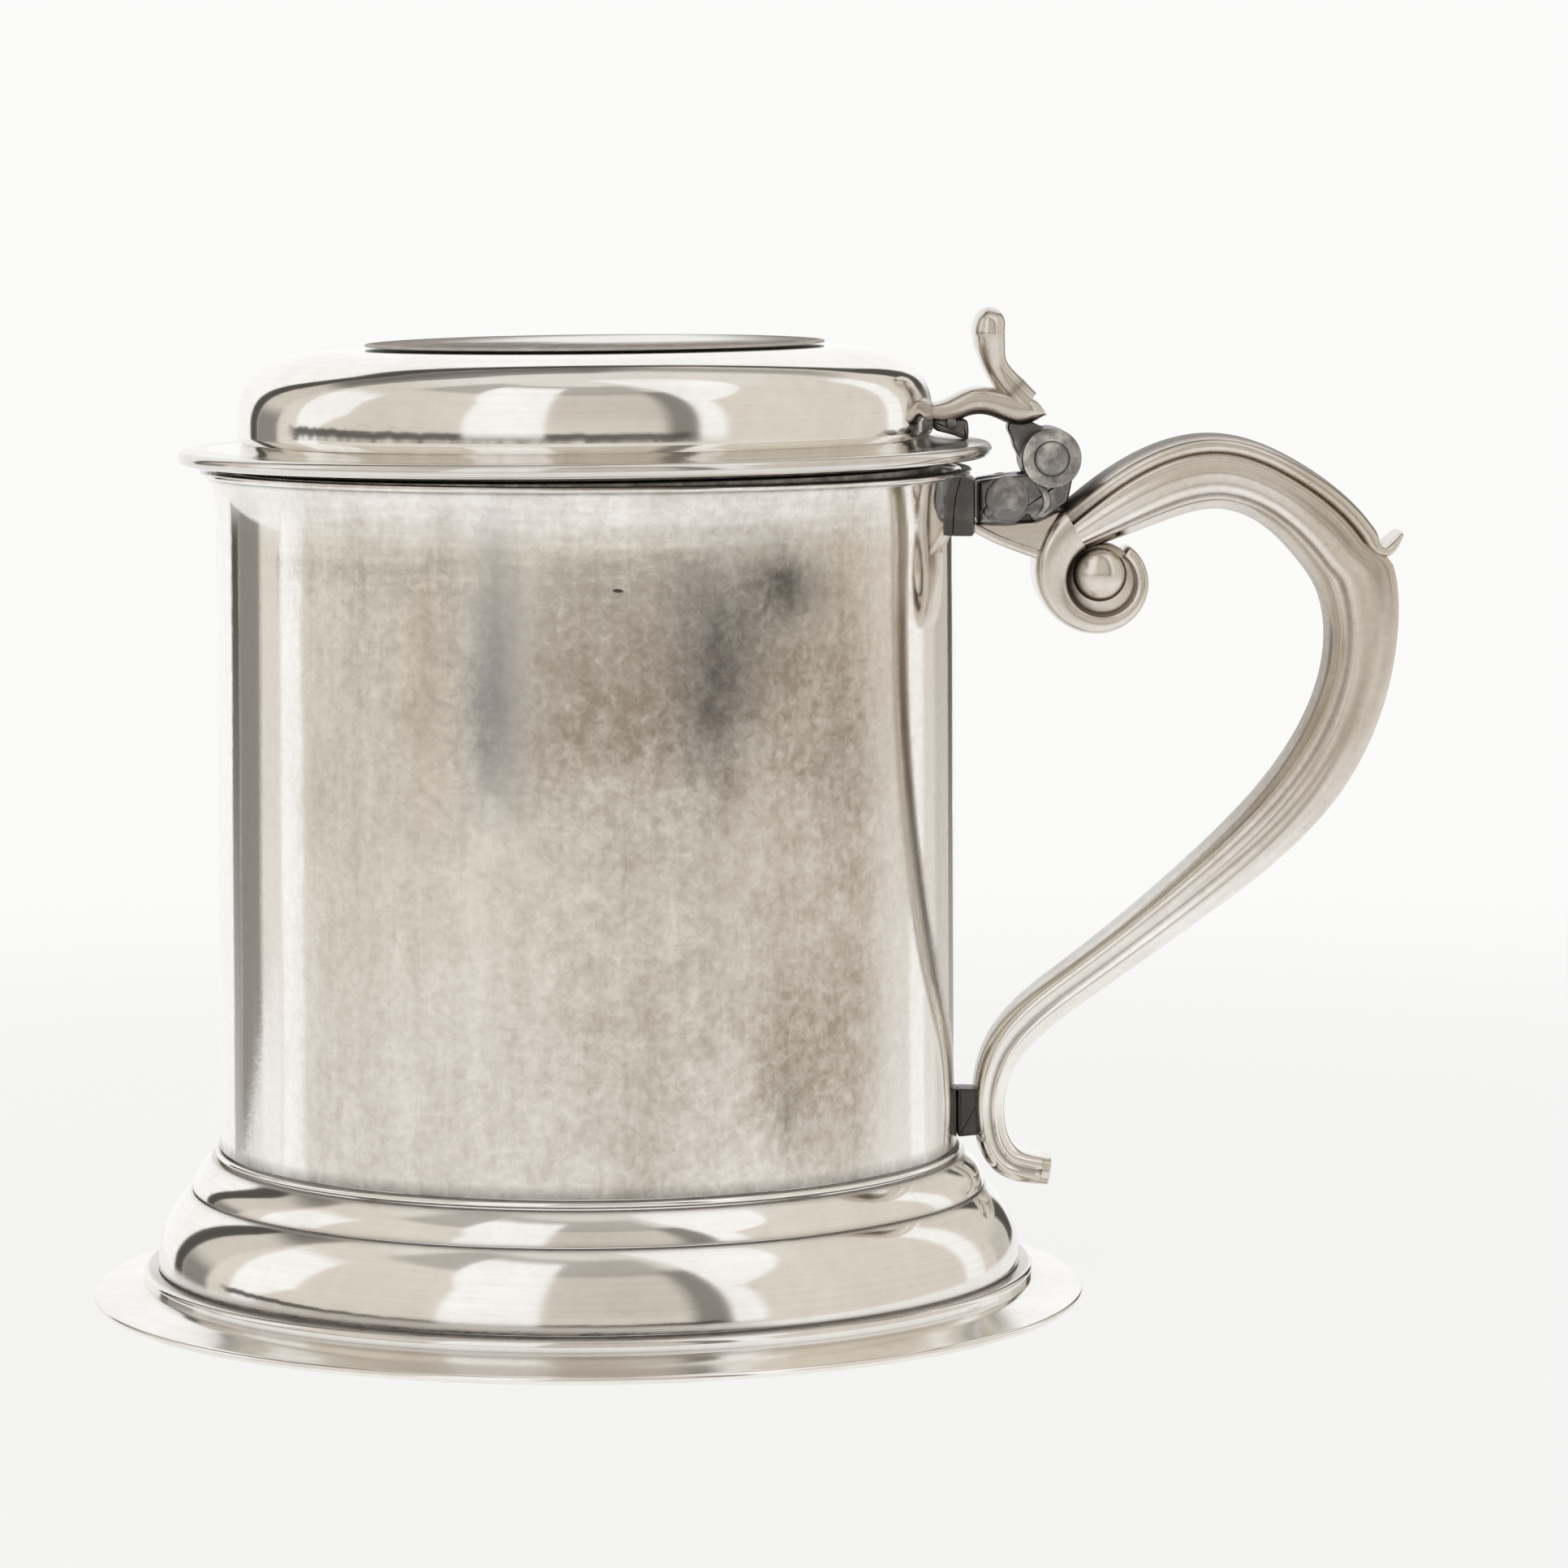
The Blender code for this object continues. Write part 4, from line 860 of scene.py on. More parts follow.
def hinge_finish(look):
    """Unpolished silver of the hinge: dark, pitted from casting, rubbed a little brighter on its lands,
    painted lighter where the tarnish and shading value is below zero (a painted highlight) and darker where
    it is high (tarnish and painted shade).
    """
    material, bench = new_material("dark_hinge_silver")
    mm = bench.place()
    tarnish_and_shading = bench.attribute("tarnish_and_shading")
    mottle = bench.noise(mm, 0.75, 5.0, 0.65)
    pits = bench.noise(mm, 2.0, 3.0, 0.55)
    worn = bench.noise(mm, 0.30, 2.0, 0.5).rise(0.48, 0.70)
    # Lands lighter: rubbed wear, and a painted highlight where the value is below zero
    land = ((1 - tarnish_and_shading) * (worn * 0.55 + (mottle - 0.5) * 1.2) - tarnish_and_shading.at_most(0.0) * 0.5).held()
    colour = bench.mix(land, look.dark[:], (0.74, 0.71, 0.67))
    colour = bench.mix((tarnish_and_shading * 0.9).held(), colour, look.crease[:])
    roughness = 0.34 + (mottle - 0.5) * 0.25 - land * 0.08
    silver_shader(bench, colour, roughness, mottle + pits * 0.5, 0.000035)
    return material


def finish(name):
    """The named finish, made once."""
    makers = {
        "satin_drum_silver": drum_finish,
        "polished_turned_silver": polish_finish,
        "tarnished_disc_silver": disc_finish,
        "cast_scroll_silver": cast_finish,
        "dark_hinge_silver": hinge_finish,
    }
    return bpy.data.materials.get(name) or makers[name](bpy.context.scene.tankard_finish)


# ---------------------------------------------------------------- shapes of this tankard


def drum_outside(height, flare):
    """The drum's outer radius: a slight taper, plus a lip whose flare grows as the cube of its rise."""
    spread = DRUM_SPREAD * (LIP_TOP - height) / (LIP_TOP - DRUM_BASE)
    turned_out = np.clip(1.0 - (LIP_TOP - WIRE_HEIGHT - height) / FLARE_RISE, 0.0, 1.0)
    return DRUM_RADIUS + spread + flare * turned_out**3


def crease(height, base, top, width):
    """How near a height is to the two ends of a moulding: a falling exponential from each."""
    return falling(np.abs(height - base), width) + falling(np.abs(top - height), width)


def half_round(inner, outer, base, top, steps=17):
    """A ring's section: a semicircle outside and a straight back."""
    nose = (top - base) / 2
    edge = circle((outer - nose, base + nose), nose, 90, -90, steps)
    return np.vstack([[(inner, top)], edge, [(inner, base)]])


def sheet(outline):
    """A moulding of the foot: its outline, and back along the same line set in by the wall."""
    return np.vstack([outline, outline[::-1] - (FOOT_WALL, 0.0)])


def handle_path(count):
    """Stations of the handle's middle line: out, up, thickness and width, in mm."""
    size = (*HANDLE_SPAN, HANDLE_STOUT, HANDLE_BROAD)
    return even(through((*HANDLE_START, 0.0, 0.0) + np.array(HANDLE_LINE) * size), count)


def curl_turn(share, root):
    """Thickness and middle radius of the curl, from its tip (0) to the handle (1)."""
    thickness = CURL_TIP + (root - CURL_TIP) * share**2.2
    return thickness, EYE_RADIUS + FIT_GAP + CURL_GROOVE * share + thickness / 2


def eye_place(line):
    """The middle of the curl, set so that the curl runs into the handle's first station."""
    return line[0, :2] - curl_turn(1.0, line[0, 2])[1] * directions(line)[1][0]


def oblong(thickness, width, power, count):
    """Rounded oblongs, one for each station: the cosine and sine raised to a power below one."""
    angle = np.linspace(0.0, 2 * math.pi, count, endpoint=False)
    outward = np.sign(np.cos(angle)) * np.abs(np.cos(angle)) ** power
    across = np.sign(np.sin(angle)) * np.abs(np.sin(angle)) ** power
    return columns(np.outer(thickness / 2, outward), np.outer(width / 2, across))


def handle_half(line, side):
    """One half of the handle: its moulded half section, blended from top to tail, on its middle line."""
    share = np.linspace(0.0, 1.0, len(line))
    fade = eased((share - SPUR_SHARE - SPUR_CLEAR_SHARE) / STRAP_FADE_SHARE)[:, None]
    covered = (RIB_HEIGHT + SOLDER) * (1.0 - fade)
    blend = np.clip((share - 0.25) / 0.6, 0.0, 1.0)[:, None, None]
    mould = through(SECTION_TOP, 5)[None] * (1 - blend) + through(SECTION_TAIL, 5)[None] * blend
    outward = (line[:, 2:3] - covered) / 2 * mould[..., 0] - covered / 2
    across = side * np.maximum(0.02, line[:, 3:4] / 2 * mould[..., 1])
    # Painted shade and tarnish from the section table; the outer face's darkening fades out past the spur
    tarnish_and_shading = mould[..., 2] * np.where(mould[..., 0] > 0.85, 1.0 - fade, 1.0)
    return swept(line, columns(outward, across), ends=(0.05, 0.05), tarnish_and_shading=tarnish_and_shading)


def rib_path(line):
    """Stations of the strap on the handle's back, ending in a hook that kicks out."""
    last = int(round(SPUR_SHARE * (len(line) - 1)))
    base = line[: last + 1].copy()
    along, outward = directions(base)
    base[:, :2] += outward * (base[:, 2:3] - RIB_HEIGHT - RIB_SINK) / 2
    base[:, 2] = RIB_HEIGHT + RIB_SINK
    drop, kick, thin = np.array(SPUR_HOOK).T
    place = base[-1, :2] + np.outer(drop * SPUR_DROP, along[-1]) + np.outer(kick * SPUR_LENGTH, outward[-1])
    hook = np.column_stack([place, thin * RIB_HEIGHT, base[-1, 3] * (1.0 - 0.3 * kick)])
    tip = even(through(np.vstack([base[-3:], hook]), 12), 40)
    return np.vstack([base[:-3], tip])


def curl_path(line, count):
    """Stations of the curl round the eye, from its tip to the handle, and the way out from the eye."""
    out = directions(line)[1][0]
    last = math.atan2(out[1], out[0]) - 2 * math.pi
    share = np.linspace(0.0, 1.0, count)
    angle = CURL_START + (last - CURL_START) * share
    thickness, radius = curl_turn(share, line[0, 2])
    width = CURL_WIDTH + (line[0, 3] - CURL_WIDTH) * share
    away = columns(np.cos(angle), np.sin(angle))
    return np.column_stack([eye_place(line) + radius[:, None] * away, thickness, width]), away


# ---------------------------------------------------------------- operators


class TANKARD_OT_drum(bpy.types.Operator):
    """Builds the drum, its rim wire and the cup's floor"""

    bl_idname = "tankard.drum"
    bl_label = "Build the drum"

    def execute(self, context):
        form = context.scene.tankard_form
        steps = form.turn_steps
        flare = form.lip_flare / MM
        satin = finish("satin_drum_silver")

        shoulder = LIP_TOP - LIP_ROUND
        height = np.concatenate([np.linspace(DRUM_BASE, 98.5, 46), np.linspace(99.0, shoulder, 26)])
        outside = columns(drum_outside(height, flare), height)
        middle = drum_outside(LIP_TOP, flare) - DRUM_WALL / 2
        edge = circle((middle, shoulder), DRUM_WALL / 2, 0, 180, 11)
        edge[:, 1] = shoulder + (edge[:, 1] - shoulder) * 0.83
        outline = np.vstack([outside, edge[1:-1], outside[::-1] - (DRUM_WALL, 0.0)])
        under_wire = LIP_TOP - WIRE_HEIGHT
        # Tarnish and painted crease shade: a dark line under the rim wire and a dark band at the drum's base
        tarnish_and_shading = 0.75 * np.exp(-(((outline[:, 1] - under_wire) / 0.28) ** 2))
        tarnish_and_shading = tarnish_and_shading + 0.7 * falling(outline[:, 1] - DRUM_BASE, 0.5)
        tarnish_and_shading = tarnish_and_shading * (outline[:, 0] > DRUM_RADIUS - 0.2)
        skin = turned(outline, steps, tarnish_and_shading, form.ripple / MM)
        add_piece("drum_wall", [skin], "body", "drum", satin)

        wire = half_round(LIP_RADIUS - 0.1, reach("rim_wire"), under_wire + SOLDER, LIP_TOP)
        # Painted shade on the wire's top in the gap under the lid, strongest towards the hinge
        lid_gap_shade = np.clip(0.35 + np.cos(full_turn(steps)), 0.0, 1.0) * (wire[:, 1] > LIP_TOP - 0.25)
        add_piece("lip_wire", [turned(wire, steps, lid_gap_shade)], "body", "rim_wire", satin)

        base, top = base_of("floor_disc"), top_of("floor_disc")
        wall = drum_outside(top, flare) - DRUM_WALL - 0.02
        share = np.linspace(0.0, 1.0, 24)
        upper = columns(wall * share, top + 0.9 * np.clip((share - 0.93) / 0.07, 0, 1) ** 2)
        floor = np.vstack([upper, [(wall, base), (0.0, base)]])
        # Painted shade, with tarnish, darker where the floor meets the wall
        skin = turned(floor, steps, falling(wall - floor[:, 0], 0.8))
        add_piece("cup_floor", [skin], "body", "floor_disc", satin)
        return {"FINISHED"}


class TANKARD_OT_foot(bpy.types.Operator):
    """Builds the foot's five mouldings, from the bead under the drum down to the table"""

    bl_idname = "tankard.foot"
    bl_label = "Build the foot"

    def execute(self, context):
        form = context.scene.tankard_form
        steps = form.turn_steps
        ripple = form.ripple / MM
        polish = finish("polished_turned_silver")

        angle = full_turn(steps)
        # Painted shade: crease darkening strongest at the front and back, weakest at the sides
        facing_shade = 0.4 + 0.6 * np.abs(np.sin(angle))
        # Where the painted dark reflection of the horizon lies, at the front left
        front_left = np.clip(1.0 - np.abs(angle - math.radians(245)) / math.radians(50), 0.0, 1.0) ** 0.5

        def ring(name, node, outline, width, ripple=0.0, depth=0.0, dark_reflection=0.0):
            """One moulding, dark near its two ends (tarnish and painted crease shade), more so at the front
            and back than at the sides (painted shade), with a painted dark reflection along its base.
            """
            low = base_of(node)
            tarnish_and_shading = depth + 0.6 * crease(outline[:, 1], low, top_of(node), width)
            tarnish_and_shading = tarnish_and_shading * facing_shade + dark_reflection * falling(outline[:, 1] - low, 0.75)
            skin = turned(outline, steps, tarnish_and_shading, ripple)
            add_piece(name, [skin], "body", node, polish)

        foot_radius = DRUM_RADIUS + DRUM_SPREAD
        low, high = base_of("base_bead"), top_of("base_bead")
        bead = half_round(foot_radius - DRUM_WALL, reach("base_bead"), low, high)
        ring("base_wire", "base_bead", bead, 0.05)

        share = np.linspace(0.0, 1.0, 28)
        neck = foot_radius + FOOT_NECK
        low, high = base_of("foot_band"), top_of("foot_band")
        out = neck + (reach("foot_band") - neck) * share + 0.42 * np.sin(math.pi * share) - 0.12 * share**6
        ring("upper_moulding", "foot_band", sheet(columns(out, high - (high - low) * share)), 0.22)

        low, high = base_of("foot_ovolo"), top_of("foot_ovolo")
        wide = reach("foot_ovolo")
        rise = high - low
        swell = (OVOLO_SPREAD**2 + rise**2) / (2 * OVOLO_SPREAD)
        opening = math.degrees(math.asin(rise / swell))
        ovolo = sheet(circle((wide - swell, low), swell, opening, 0, 48))
        ring("swelling_moulding", "foot_ovolo", ovolo, 0.22, ripple, dark_reflection=0.85 * front_left)

        inner = wide - FOOT_WALL
        start = reach("foot_fillet")
        low, high = base_of("foot_fillet"), top_of("foot_fillet")
        fillet = half_round(inner, start, low, high)
        lower = fillet[:, 1] < (low + high) / 2
        fillet[lower & (fillet[:, 0] > inner), 0] = start
        fillet[lower & (fillet[:, 1] < low + 0.1), 1] -= FIT_GAP
        # A slight all-over darkening, tarnish and painted shade, and a weaker painted dark reflection at the
        # base
        ring("step_moulding", "foot_fillet", fillet, 0.12, depth=0.04, dark_reflection=0.15 * front_left)

        top = top_of("foot_flange")
        edge = circle((reach("foot_flange") - 0.5, 0.5), 0.5, 80, -90, 13)
        share = np.linspace(0.0, 1.0, 26)[:-1]
        slope = columns(
            start + (edge[0, 0] - start) * share,
            top + (edge[0, 1] - top) * (1.35 * share - 0.35 * share**2),
        )
        flange = np.vstack([[(inner, top)], slope, edge, [(inner, 0.0)]])
        # Painted shade, with tarnish, where the flange meets the step moulding
        near = 0.12 * facing_shade * falling(flange[:, 0] - start, 0.5) * (flange[:, 1] > 1.0)
        skin = turned(flange, steps, near, ripple)
        add_piece("table_flange", [skin], "body", "foot_flange", polish)
        return {"FINISHED"}


class TANKARD_OT_lid(bpy.types.Operator):
    """Builds the lid's rim, dome, disc and the collar that finds the mouth"""

    bl_idname = "tankard.lid"
    bl_label = "Build the lid"

    def execute(self, context):
        form = context.scene.tankard_form
        steps = form.turn_steps
        ripple = form.ripple / MM
        polish = finish("polished_turned_silver")

        def ring(name, node, outline, tarnish_and_shading, slot="polished_silver", material=polish, ripple=0.0, out=0.0):
            """One turned piece of the lid, set out from its middle and canted with the others."""
            skin = turned(outline, steps, tarnish_and_shading, ripple)
            skin.points[..., 0] += out
            skin.points = canted(skin.points, form.lid_cant)
            add_piece(name, [skin], "lid", node, material)

        angle = full_turn(steps)
        # Painted shade in the gap under the lid, strongest towards the hinge
        lid_gap_shade = np.clip(0.48 + 0.8 * np.cos(angle), 0.22, 1.0)
        # Painted shade under the hinge's strap
        hinge_shade = np.exp(-((np.minimum(angle, 2 * math.pi - angle) / 0.22) ** 2))

        seat, high, wide = base_of("lid_flange"), top_of("lid_flange"), reach("lid_flange")
        rim_low = seat + 0.4
        inner = DOME_RADIUS - DOME_TUCK - DOME_WALL
        start, end = DOME_RADIUS - DOME_TUCK + 0.2, wide - RIM_NOSE
        share = np.linspace(0.0, 1.0, 26)
        drop = (rim_low + 2 * RIM_NOSE - high) * np.sin(share * math.pi / 2) ** 2
        cove = columns(start + (end - start) * share, high + drop + 0.5 * (1 - share) ** 8)
        rim = circle((end, rim_low + RIM_NOSE), RIM_NOSE, 84, -90, 15)
        under = [(LIP_RADIUS + 1.4, rim_low), (LIP_RADIUS, seat), (inner, seat)]
        flange = np.vstack([[(inner, high)], cove[:-1], rim, under])
        upper = flange[:, 1] > rim_low + 1
        # Dark at the dome's foot: tarnish and painted crease shade. The rim's underside: painted gap shade.
        # Near the hinge: painted shade under the strap.
        tarnish_and_shading = 0.15 * falling(flange[:, 0] - start, 0.45) * upper
        tarnish_and_shading = tarnish_and_shading + lid_gap_shade * (flange[:, 1] < rim_low + 0.05) + 0.45 * hinge_shade * upper
        # Painted grey reflection on the rim's outer slope
        tarnish_and_shading = tarnish_and_shading + 0.16 * (flange[:, 0] > wide - 4.0) * (flange[:, 1] > rim_low + 0.1)
        ring("lid_rim_moulding", "lid_flange", flange, tarnish_and_shading, ripple=ripple)

        low, top = base_of("lid_dome"), top_of("lid_dome")
        widest = low + DOME_SWELL
        below = np.linspace(1.0, 0.0, 12)[:-1]
        tuck = columns(DOME_RADIUS - DOME_TUCK * below**2, widest - DOME_SWELL * below)
        bend = np.linspace(0.0, 1.0, 64) ** 1.3 * math.pi / 2
        across = np.clip(np.cos(bend), 0.0, 1.0) ** DOME_SQUARENESS
        upward = np.sin(bend) ** DOME_SQUARENESS
        swell = columns(
            DISC_RADIUS + (DOME_RADIUS - DISC_RADIUS) * across, widest + (top - widest) * upward
        )
        inside = columns(
            DISC_RADIUS + (inner - DISC_RADIUS) * across, low + (top - DOME_WALL - low) * upward
        )
        flat = np.linspace(DISC_RADIUS, 0.0, 14)[1:]
        crown, under = columns(flat, top), columns(flat[::-1], top - DOME_WALL)
        dome = np.vstack([tuck, swell, crown, under, inside[::-1]])
        # Darker at the dome's foot, tarnish and painted crease shade, and painted shade under the hinge's
        # strap
        tarnish_and_shading = 0.15 * falling(dome[:, 1] - low, 0.25)
        tarnish_and_shading = tarnish_and_shading + 0.62 * hinge_shade * np.clip((120.0 - dome[:, 1]) / 3.0, 0.0, 1.0)
        ring("lid_crown", "lid_dome", dome, tarnish_and_shading, ripple=ripple)

        low, high = base_of("lid_disc"), top_of("lid_disc")
        share = np.linspace(0.0, 1.0, 30)
        upper = columns(DISC_RADIUS * share, high - 0.4 - (high - low - 0.65) * share**9)
        disc = np.vstack([upper, [(DISC_RADIUS, low), (0.0, low)]])
        share = disc[:, 0] / DISC_RADIUS
        far = np.hypot(share * np.cos(angle) - 0.12, share * np.sin(angle))
        far = far * (1 + 0.07 * np.sin(3 * angle + 1.0) + 0.05 * np.sin(5 * angle))
        # A ring of tarnish round a rubbed middle, and the disc's edge painted lighter, painted light that
        # weakens the dark line at its edge
        tarnish_and_shading = 0.78 * eased((far - 0.34) / 0.5) - 0.34 * falling(DISC_RADIUS - disc[:, 0], 0.3)
        ring("crown_disc", "lid_disc", disc, tarnish_and_shading, material=finish("tarnished_disc_silver"), out=DISC_OUT)

        low, high, wide = base_of("lid_bezel"), top_of("lid_bezel"), reach("lid_bezel")
        bezel = rounded([(wide - 1.0, high), (wide, high), (wide, low), (wide - 1.0, low)], 0.3, 5)
        # Painted shade: the collar inside the mouth nearly black
        ring("lid_collar", "lid_bezel", bezel, 0.9, "satin_silver", finish("satin_drum_silver"))
        return {"FINISHED"}


class TANKARD_OT_hinge(bpy.types.Operator):
    """Builds the hinge on the drum: plate, cheeks with their scrolls, pin and lower block"""

    bl_idname = "tankard.hinge"
    bl_label = "Build the hinge"

    def execute(self, context):
        form = context.scene.tankard_form
        edge = form.edge_round / MM
        flare = form.lip_flare / MM
        dark = finish("dark_hinge_silver")

        low, high = base_of("hinge_pad"), top_of("hinge_pad")
        height = np.linspace(low, high, 12)
        back = columns(drum_outside(height, flare) + SOLDER, height)
        set_in = PAD_RADIUS - 0.7
        corners = [(set_in, high), (PAD_RADIUS, high), (PAD_RADIUS, low), (set_in, low)]
        face = rounded(corners, (0, 0.6, 0.6, 0), 6)[6:18]
        # Painted shade: the plate darker than the cheeks, as it lies in shade below the rim
        skin = part_turned(np.vstack([face, back]), math.asin(PAD_HALF / PAD_RADIUS), 24, 0.6)
        add_piece("hinge_plate", [skin], "body", "hinge_pad", dark)

        hinge = np.array([HINGE_OUT, HINGE_HEIGHT])
        inside = BRACKET_HEEL[0][0]
        scroll = circle(BRACKET_SCROLL, 3.3, -100, -36, 10)
        cheek = rounded(np.vstack([BRACKET_HEEL, scroll, CHEEK_END, [(inside, 106.5)]]), 0.35, 3)
        barrel = circle(hinge, BARREL_RADIUS, 0, 360, 65)[:-1]
        hollow = circle(hinge, BARREL_RADIUS + 0.7, -78, -152, 12)
        web = np.vstack([BRACKET_HEEL, WEB_END, hollow, [(53.4, 106.7), (inside, 106.3)]])
        half = CHEEK_FACE + 0.05
        # Painted shade: the web set back between the cheeks darker than they are
        skins = [plate(rounded(web, 0.25, 3), -half, half, 0.05, 0.5)]
        land = circle(hinge, BARREL_RADIUS - 0.12, 0, 360, 49)[:-1]
        leaf = even(through(LEAF_LINE, 8), 24)
        size = np.sin(np.linspace(0.25, math.pi - 0.25, 24))
        bar = oblong(1.15 * size, 1.3 * size, 0.9, 16)
        for side in (-1, 1):
            low, high = sorted((side * CHEEK_FACE, side * (HINGE_HALF - 0.45)))
            skins.append(plate(cheek, low, high, edge, 0.15))
            skins.append(plate(barrel, low, high, edge, 0.15))
            skins.append(boss(BRACKET_SCROLL, 2.9, HINGE_HALF - 0.5, 0.5, side, 48))
            low, high = sorted((side * (HINGE_HALF - 0.7), side * HINGE_HALF))
            # Painted highlight: the barrel's end collars lighter, value below zero
            skins.append(collar(land, hinge, PIN_RADIUS + 0.12, low, high, -0.6))
            skins.append(swept(leaf, bar + (0.0, side * (HINGE_HALF - 0.45)), ends=(0.3, 0.3)))
            skins.append(boss(BRACKET_KNOB, 0.75, HINGE_HALF - 0.5, 0.5, side, 24))
        add_piece("hinge_bracket_scroll", skins, "body", "hinge_bracket", dark)

        bend = np.linspace(0.0, math.pi / 2, 8)
        radii = np.concatenate([PIN_RADIUS * np.sin(bend), [PIN_RADIUS]])
        ends = np.concatenate([PIN_HIGH.y / MM - 0.3 * (1 - np.cos(bend)), [0.0]])
        radii = np.concatenate([radii, radii[::-1]])
        # Painted highlight on the pin's face (value below zero) and painted shade round its edge
        tarnish_and_shading = np.clip((radii / PIN_RADIUS - 0.86) / 0.14, 0.0, 1.0) * 0.9 - 0.45
        pin = spun(hinge, radii, np.concatenate([ends, -ends[::-1]]), 48, tarnish_and_shading)
        add_piece("rivet_pin", [pin], "body", "hinge_pin", dark)

        low, high = base_of("lower_strut"), top_of("lower_strut")
        near_top = (drum_outside(high, flare) + SOLDER, high + 0.1)
        near_base = (drum_outside(low, flare) + SOLDER, low - 0.3)
        strut = rounded([near_top, (52.0, high), (52.6, low + 2.0), (51.7, low), near_base], 0.5, 5)
        # Painted shade: the lower block dark, standing in for the shaded joint between drum and tail
        block = plate(strut, -2.5, 2.5, edge, 0.75)
        add_piece("tail_block", [block], "body", "lower_strut", dark)
        return {"FINISHED"}


class TANKARD_OT_handle(bpy.types.Operator):
    """Builds the scroll handle: two moulded halves, back rib with its spur, curl, bead, arm and cap"""

    bl_idname = "tankard.handle"
    bl_label = "Build the handle"

    def execute(self, context):
        form = context.scene.tankard_form
        cast = finish("cast_scroll_silver")
        line = handle_path(form.handle_stations)

        def cast_piece(name, node, *skins, sharp=35.0):
            """One piece of the handle."""
            add_piece(name, skins, "body", node, cast, sharp)

        cast_piece("handle_near_half", "handle_front_half", handle_half(line, -1), sharp=60.0)
        cast_piece("handle_far_half", "handle_rear_half", handle_half(line, 1), sharp=60.0)

        rib = rib_path(line)
        shape = oblong(rib[:, 2], rib[:, 3], 0.75, 40)
        run = np.linspace(0.0, 1.0, len(rib))[:, None]
        # Painted shade: dark where the rib meets the handle and at its start under the hinge, and a painted
        # dark edge along its outer face
        tarnish_and_shading = np.clip(0.5 - shape[..., 0] / RIB_HEIGHT, 0.0, 1.0) ** 2 * np.where(run > 0.93, 0.2, 0.5)
        tarnish_and_shading = tarnish_and_shading + 0.5 * np.clip(1.0 - run / 0.12, 0.0, 1.0)
        tarnish_and_shading = tarnish_and_shading + 0.85 * np.clip(shape[..., 0] / RIB_HEIGHT * 4 - 1.4, 0.0, 1.0)
        skin = swept(rib, shape, ends=(0.1, 0.7), tarnish_and_shading=tarnish_and_shading)
        cast_piece("handle_rib", "handle_back_strap", skin, sharp=60.0)

        curl, away = curl_path(line, 90)
        shape = oblong(curl[:, 2], curl[:, 3], 0.42, 40)
        # Tarnish and painted crease shade on the curl's face towards the eye
        depth = np.clip(-shape[..., 0] / (curl[:, 2:3] / 2), 0.0, 1.0) ** 3
        cast_piece("scroll_curl", "volute", swept(curl, shape, away, (0.6, 0.05), depth), sharp=60.0)

        eye = eye_place(line)
        half = CURL_WIDTH / 2
        bend = np.linspace(math.pi / 2, 0.0, 20)
        # Painted shade: a dark crescent on the left of the bead and of the web round it
        left = 0.5 - 0.5 * np.cos(full_turn(64) + math.radians(10))
        skins = []
        for centre, radius, face, rise, rim in (
            (eye + (-0.5, 0.8), EYE_RADIUS - 0.1, half - 0.9, 2.4, 1.0),
            (eye, EYE_RADIUS + 1.1, half - 1.6, 0.4, 1.3),
        ):
            radii = radius * np.cos(bend)
            lift = face + rise * np.sin(bend)
            radii = np.concatenate([radii, radii[::-1]])
            radii[[0, -1]] = 0.0
            depth = np.clip((radii / radius - 0.6) / 0.4, 0.0, 1.0) ** 0.9
            tarnish_and_shading = rim * depth * (0.15 + 0.85 * left**1.5)
            skins.append(spun(centre, radii, np.concatenate([lift, -lift[::-1]]), 64, tarnish_and_shading))
        cast_piece("scroll_bead", "volute_eye", *skins)

        skins = [plate(rounded(ARM_OUTLINE, 0.8, 5), -4.5, 4.5, form.edge_round / MM)]
        bead = even(through(ARM_BEAD_LINE, 8), 30)
        shape = oblong(np.full(30, 1.25), np.full(30, 1.1), 0.9, 16)
        skins += [swept(bead, shape + (0.0, side), ends=(0.4, 0.4)) for side in (-4.4, 4.4)]
        cast_piece("handle_arm", "handle_root", *skins)

        cap = np.repeat(line[-1:], 4, axis=0)
        cap[:, :2] += np.outer((0.05, 0.35, 0.7, 1.0), directions(line)[0][-1])
        shape = oblong(cap[:, 2] * 0.97, cap[:, 3] * 0.97, 0.6, 40)
        cast_piece("tail_cap", "handle_end_cap", swept(cap, shape, ends=(0.02, 0.45)))
        return {"FINISHED"}


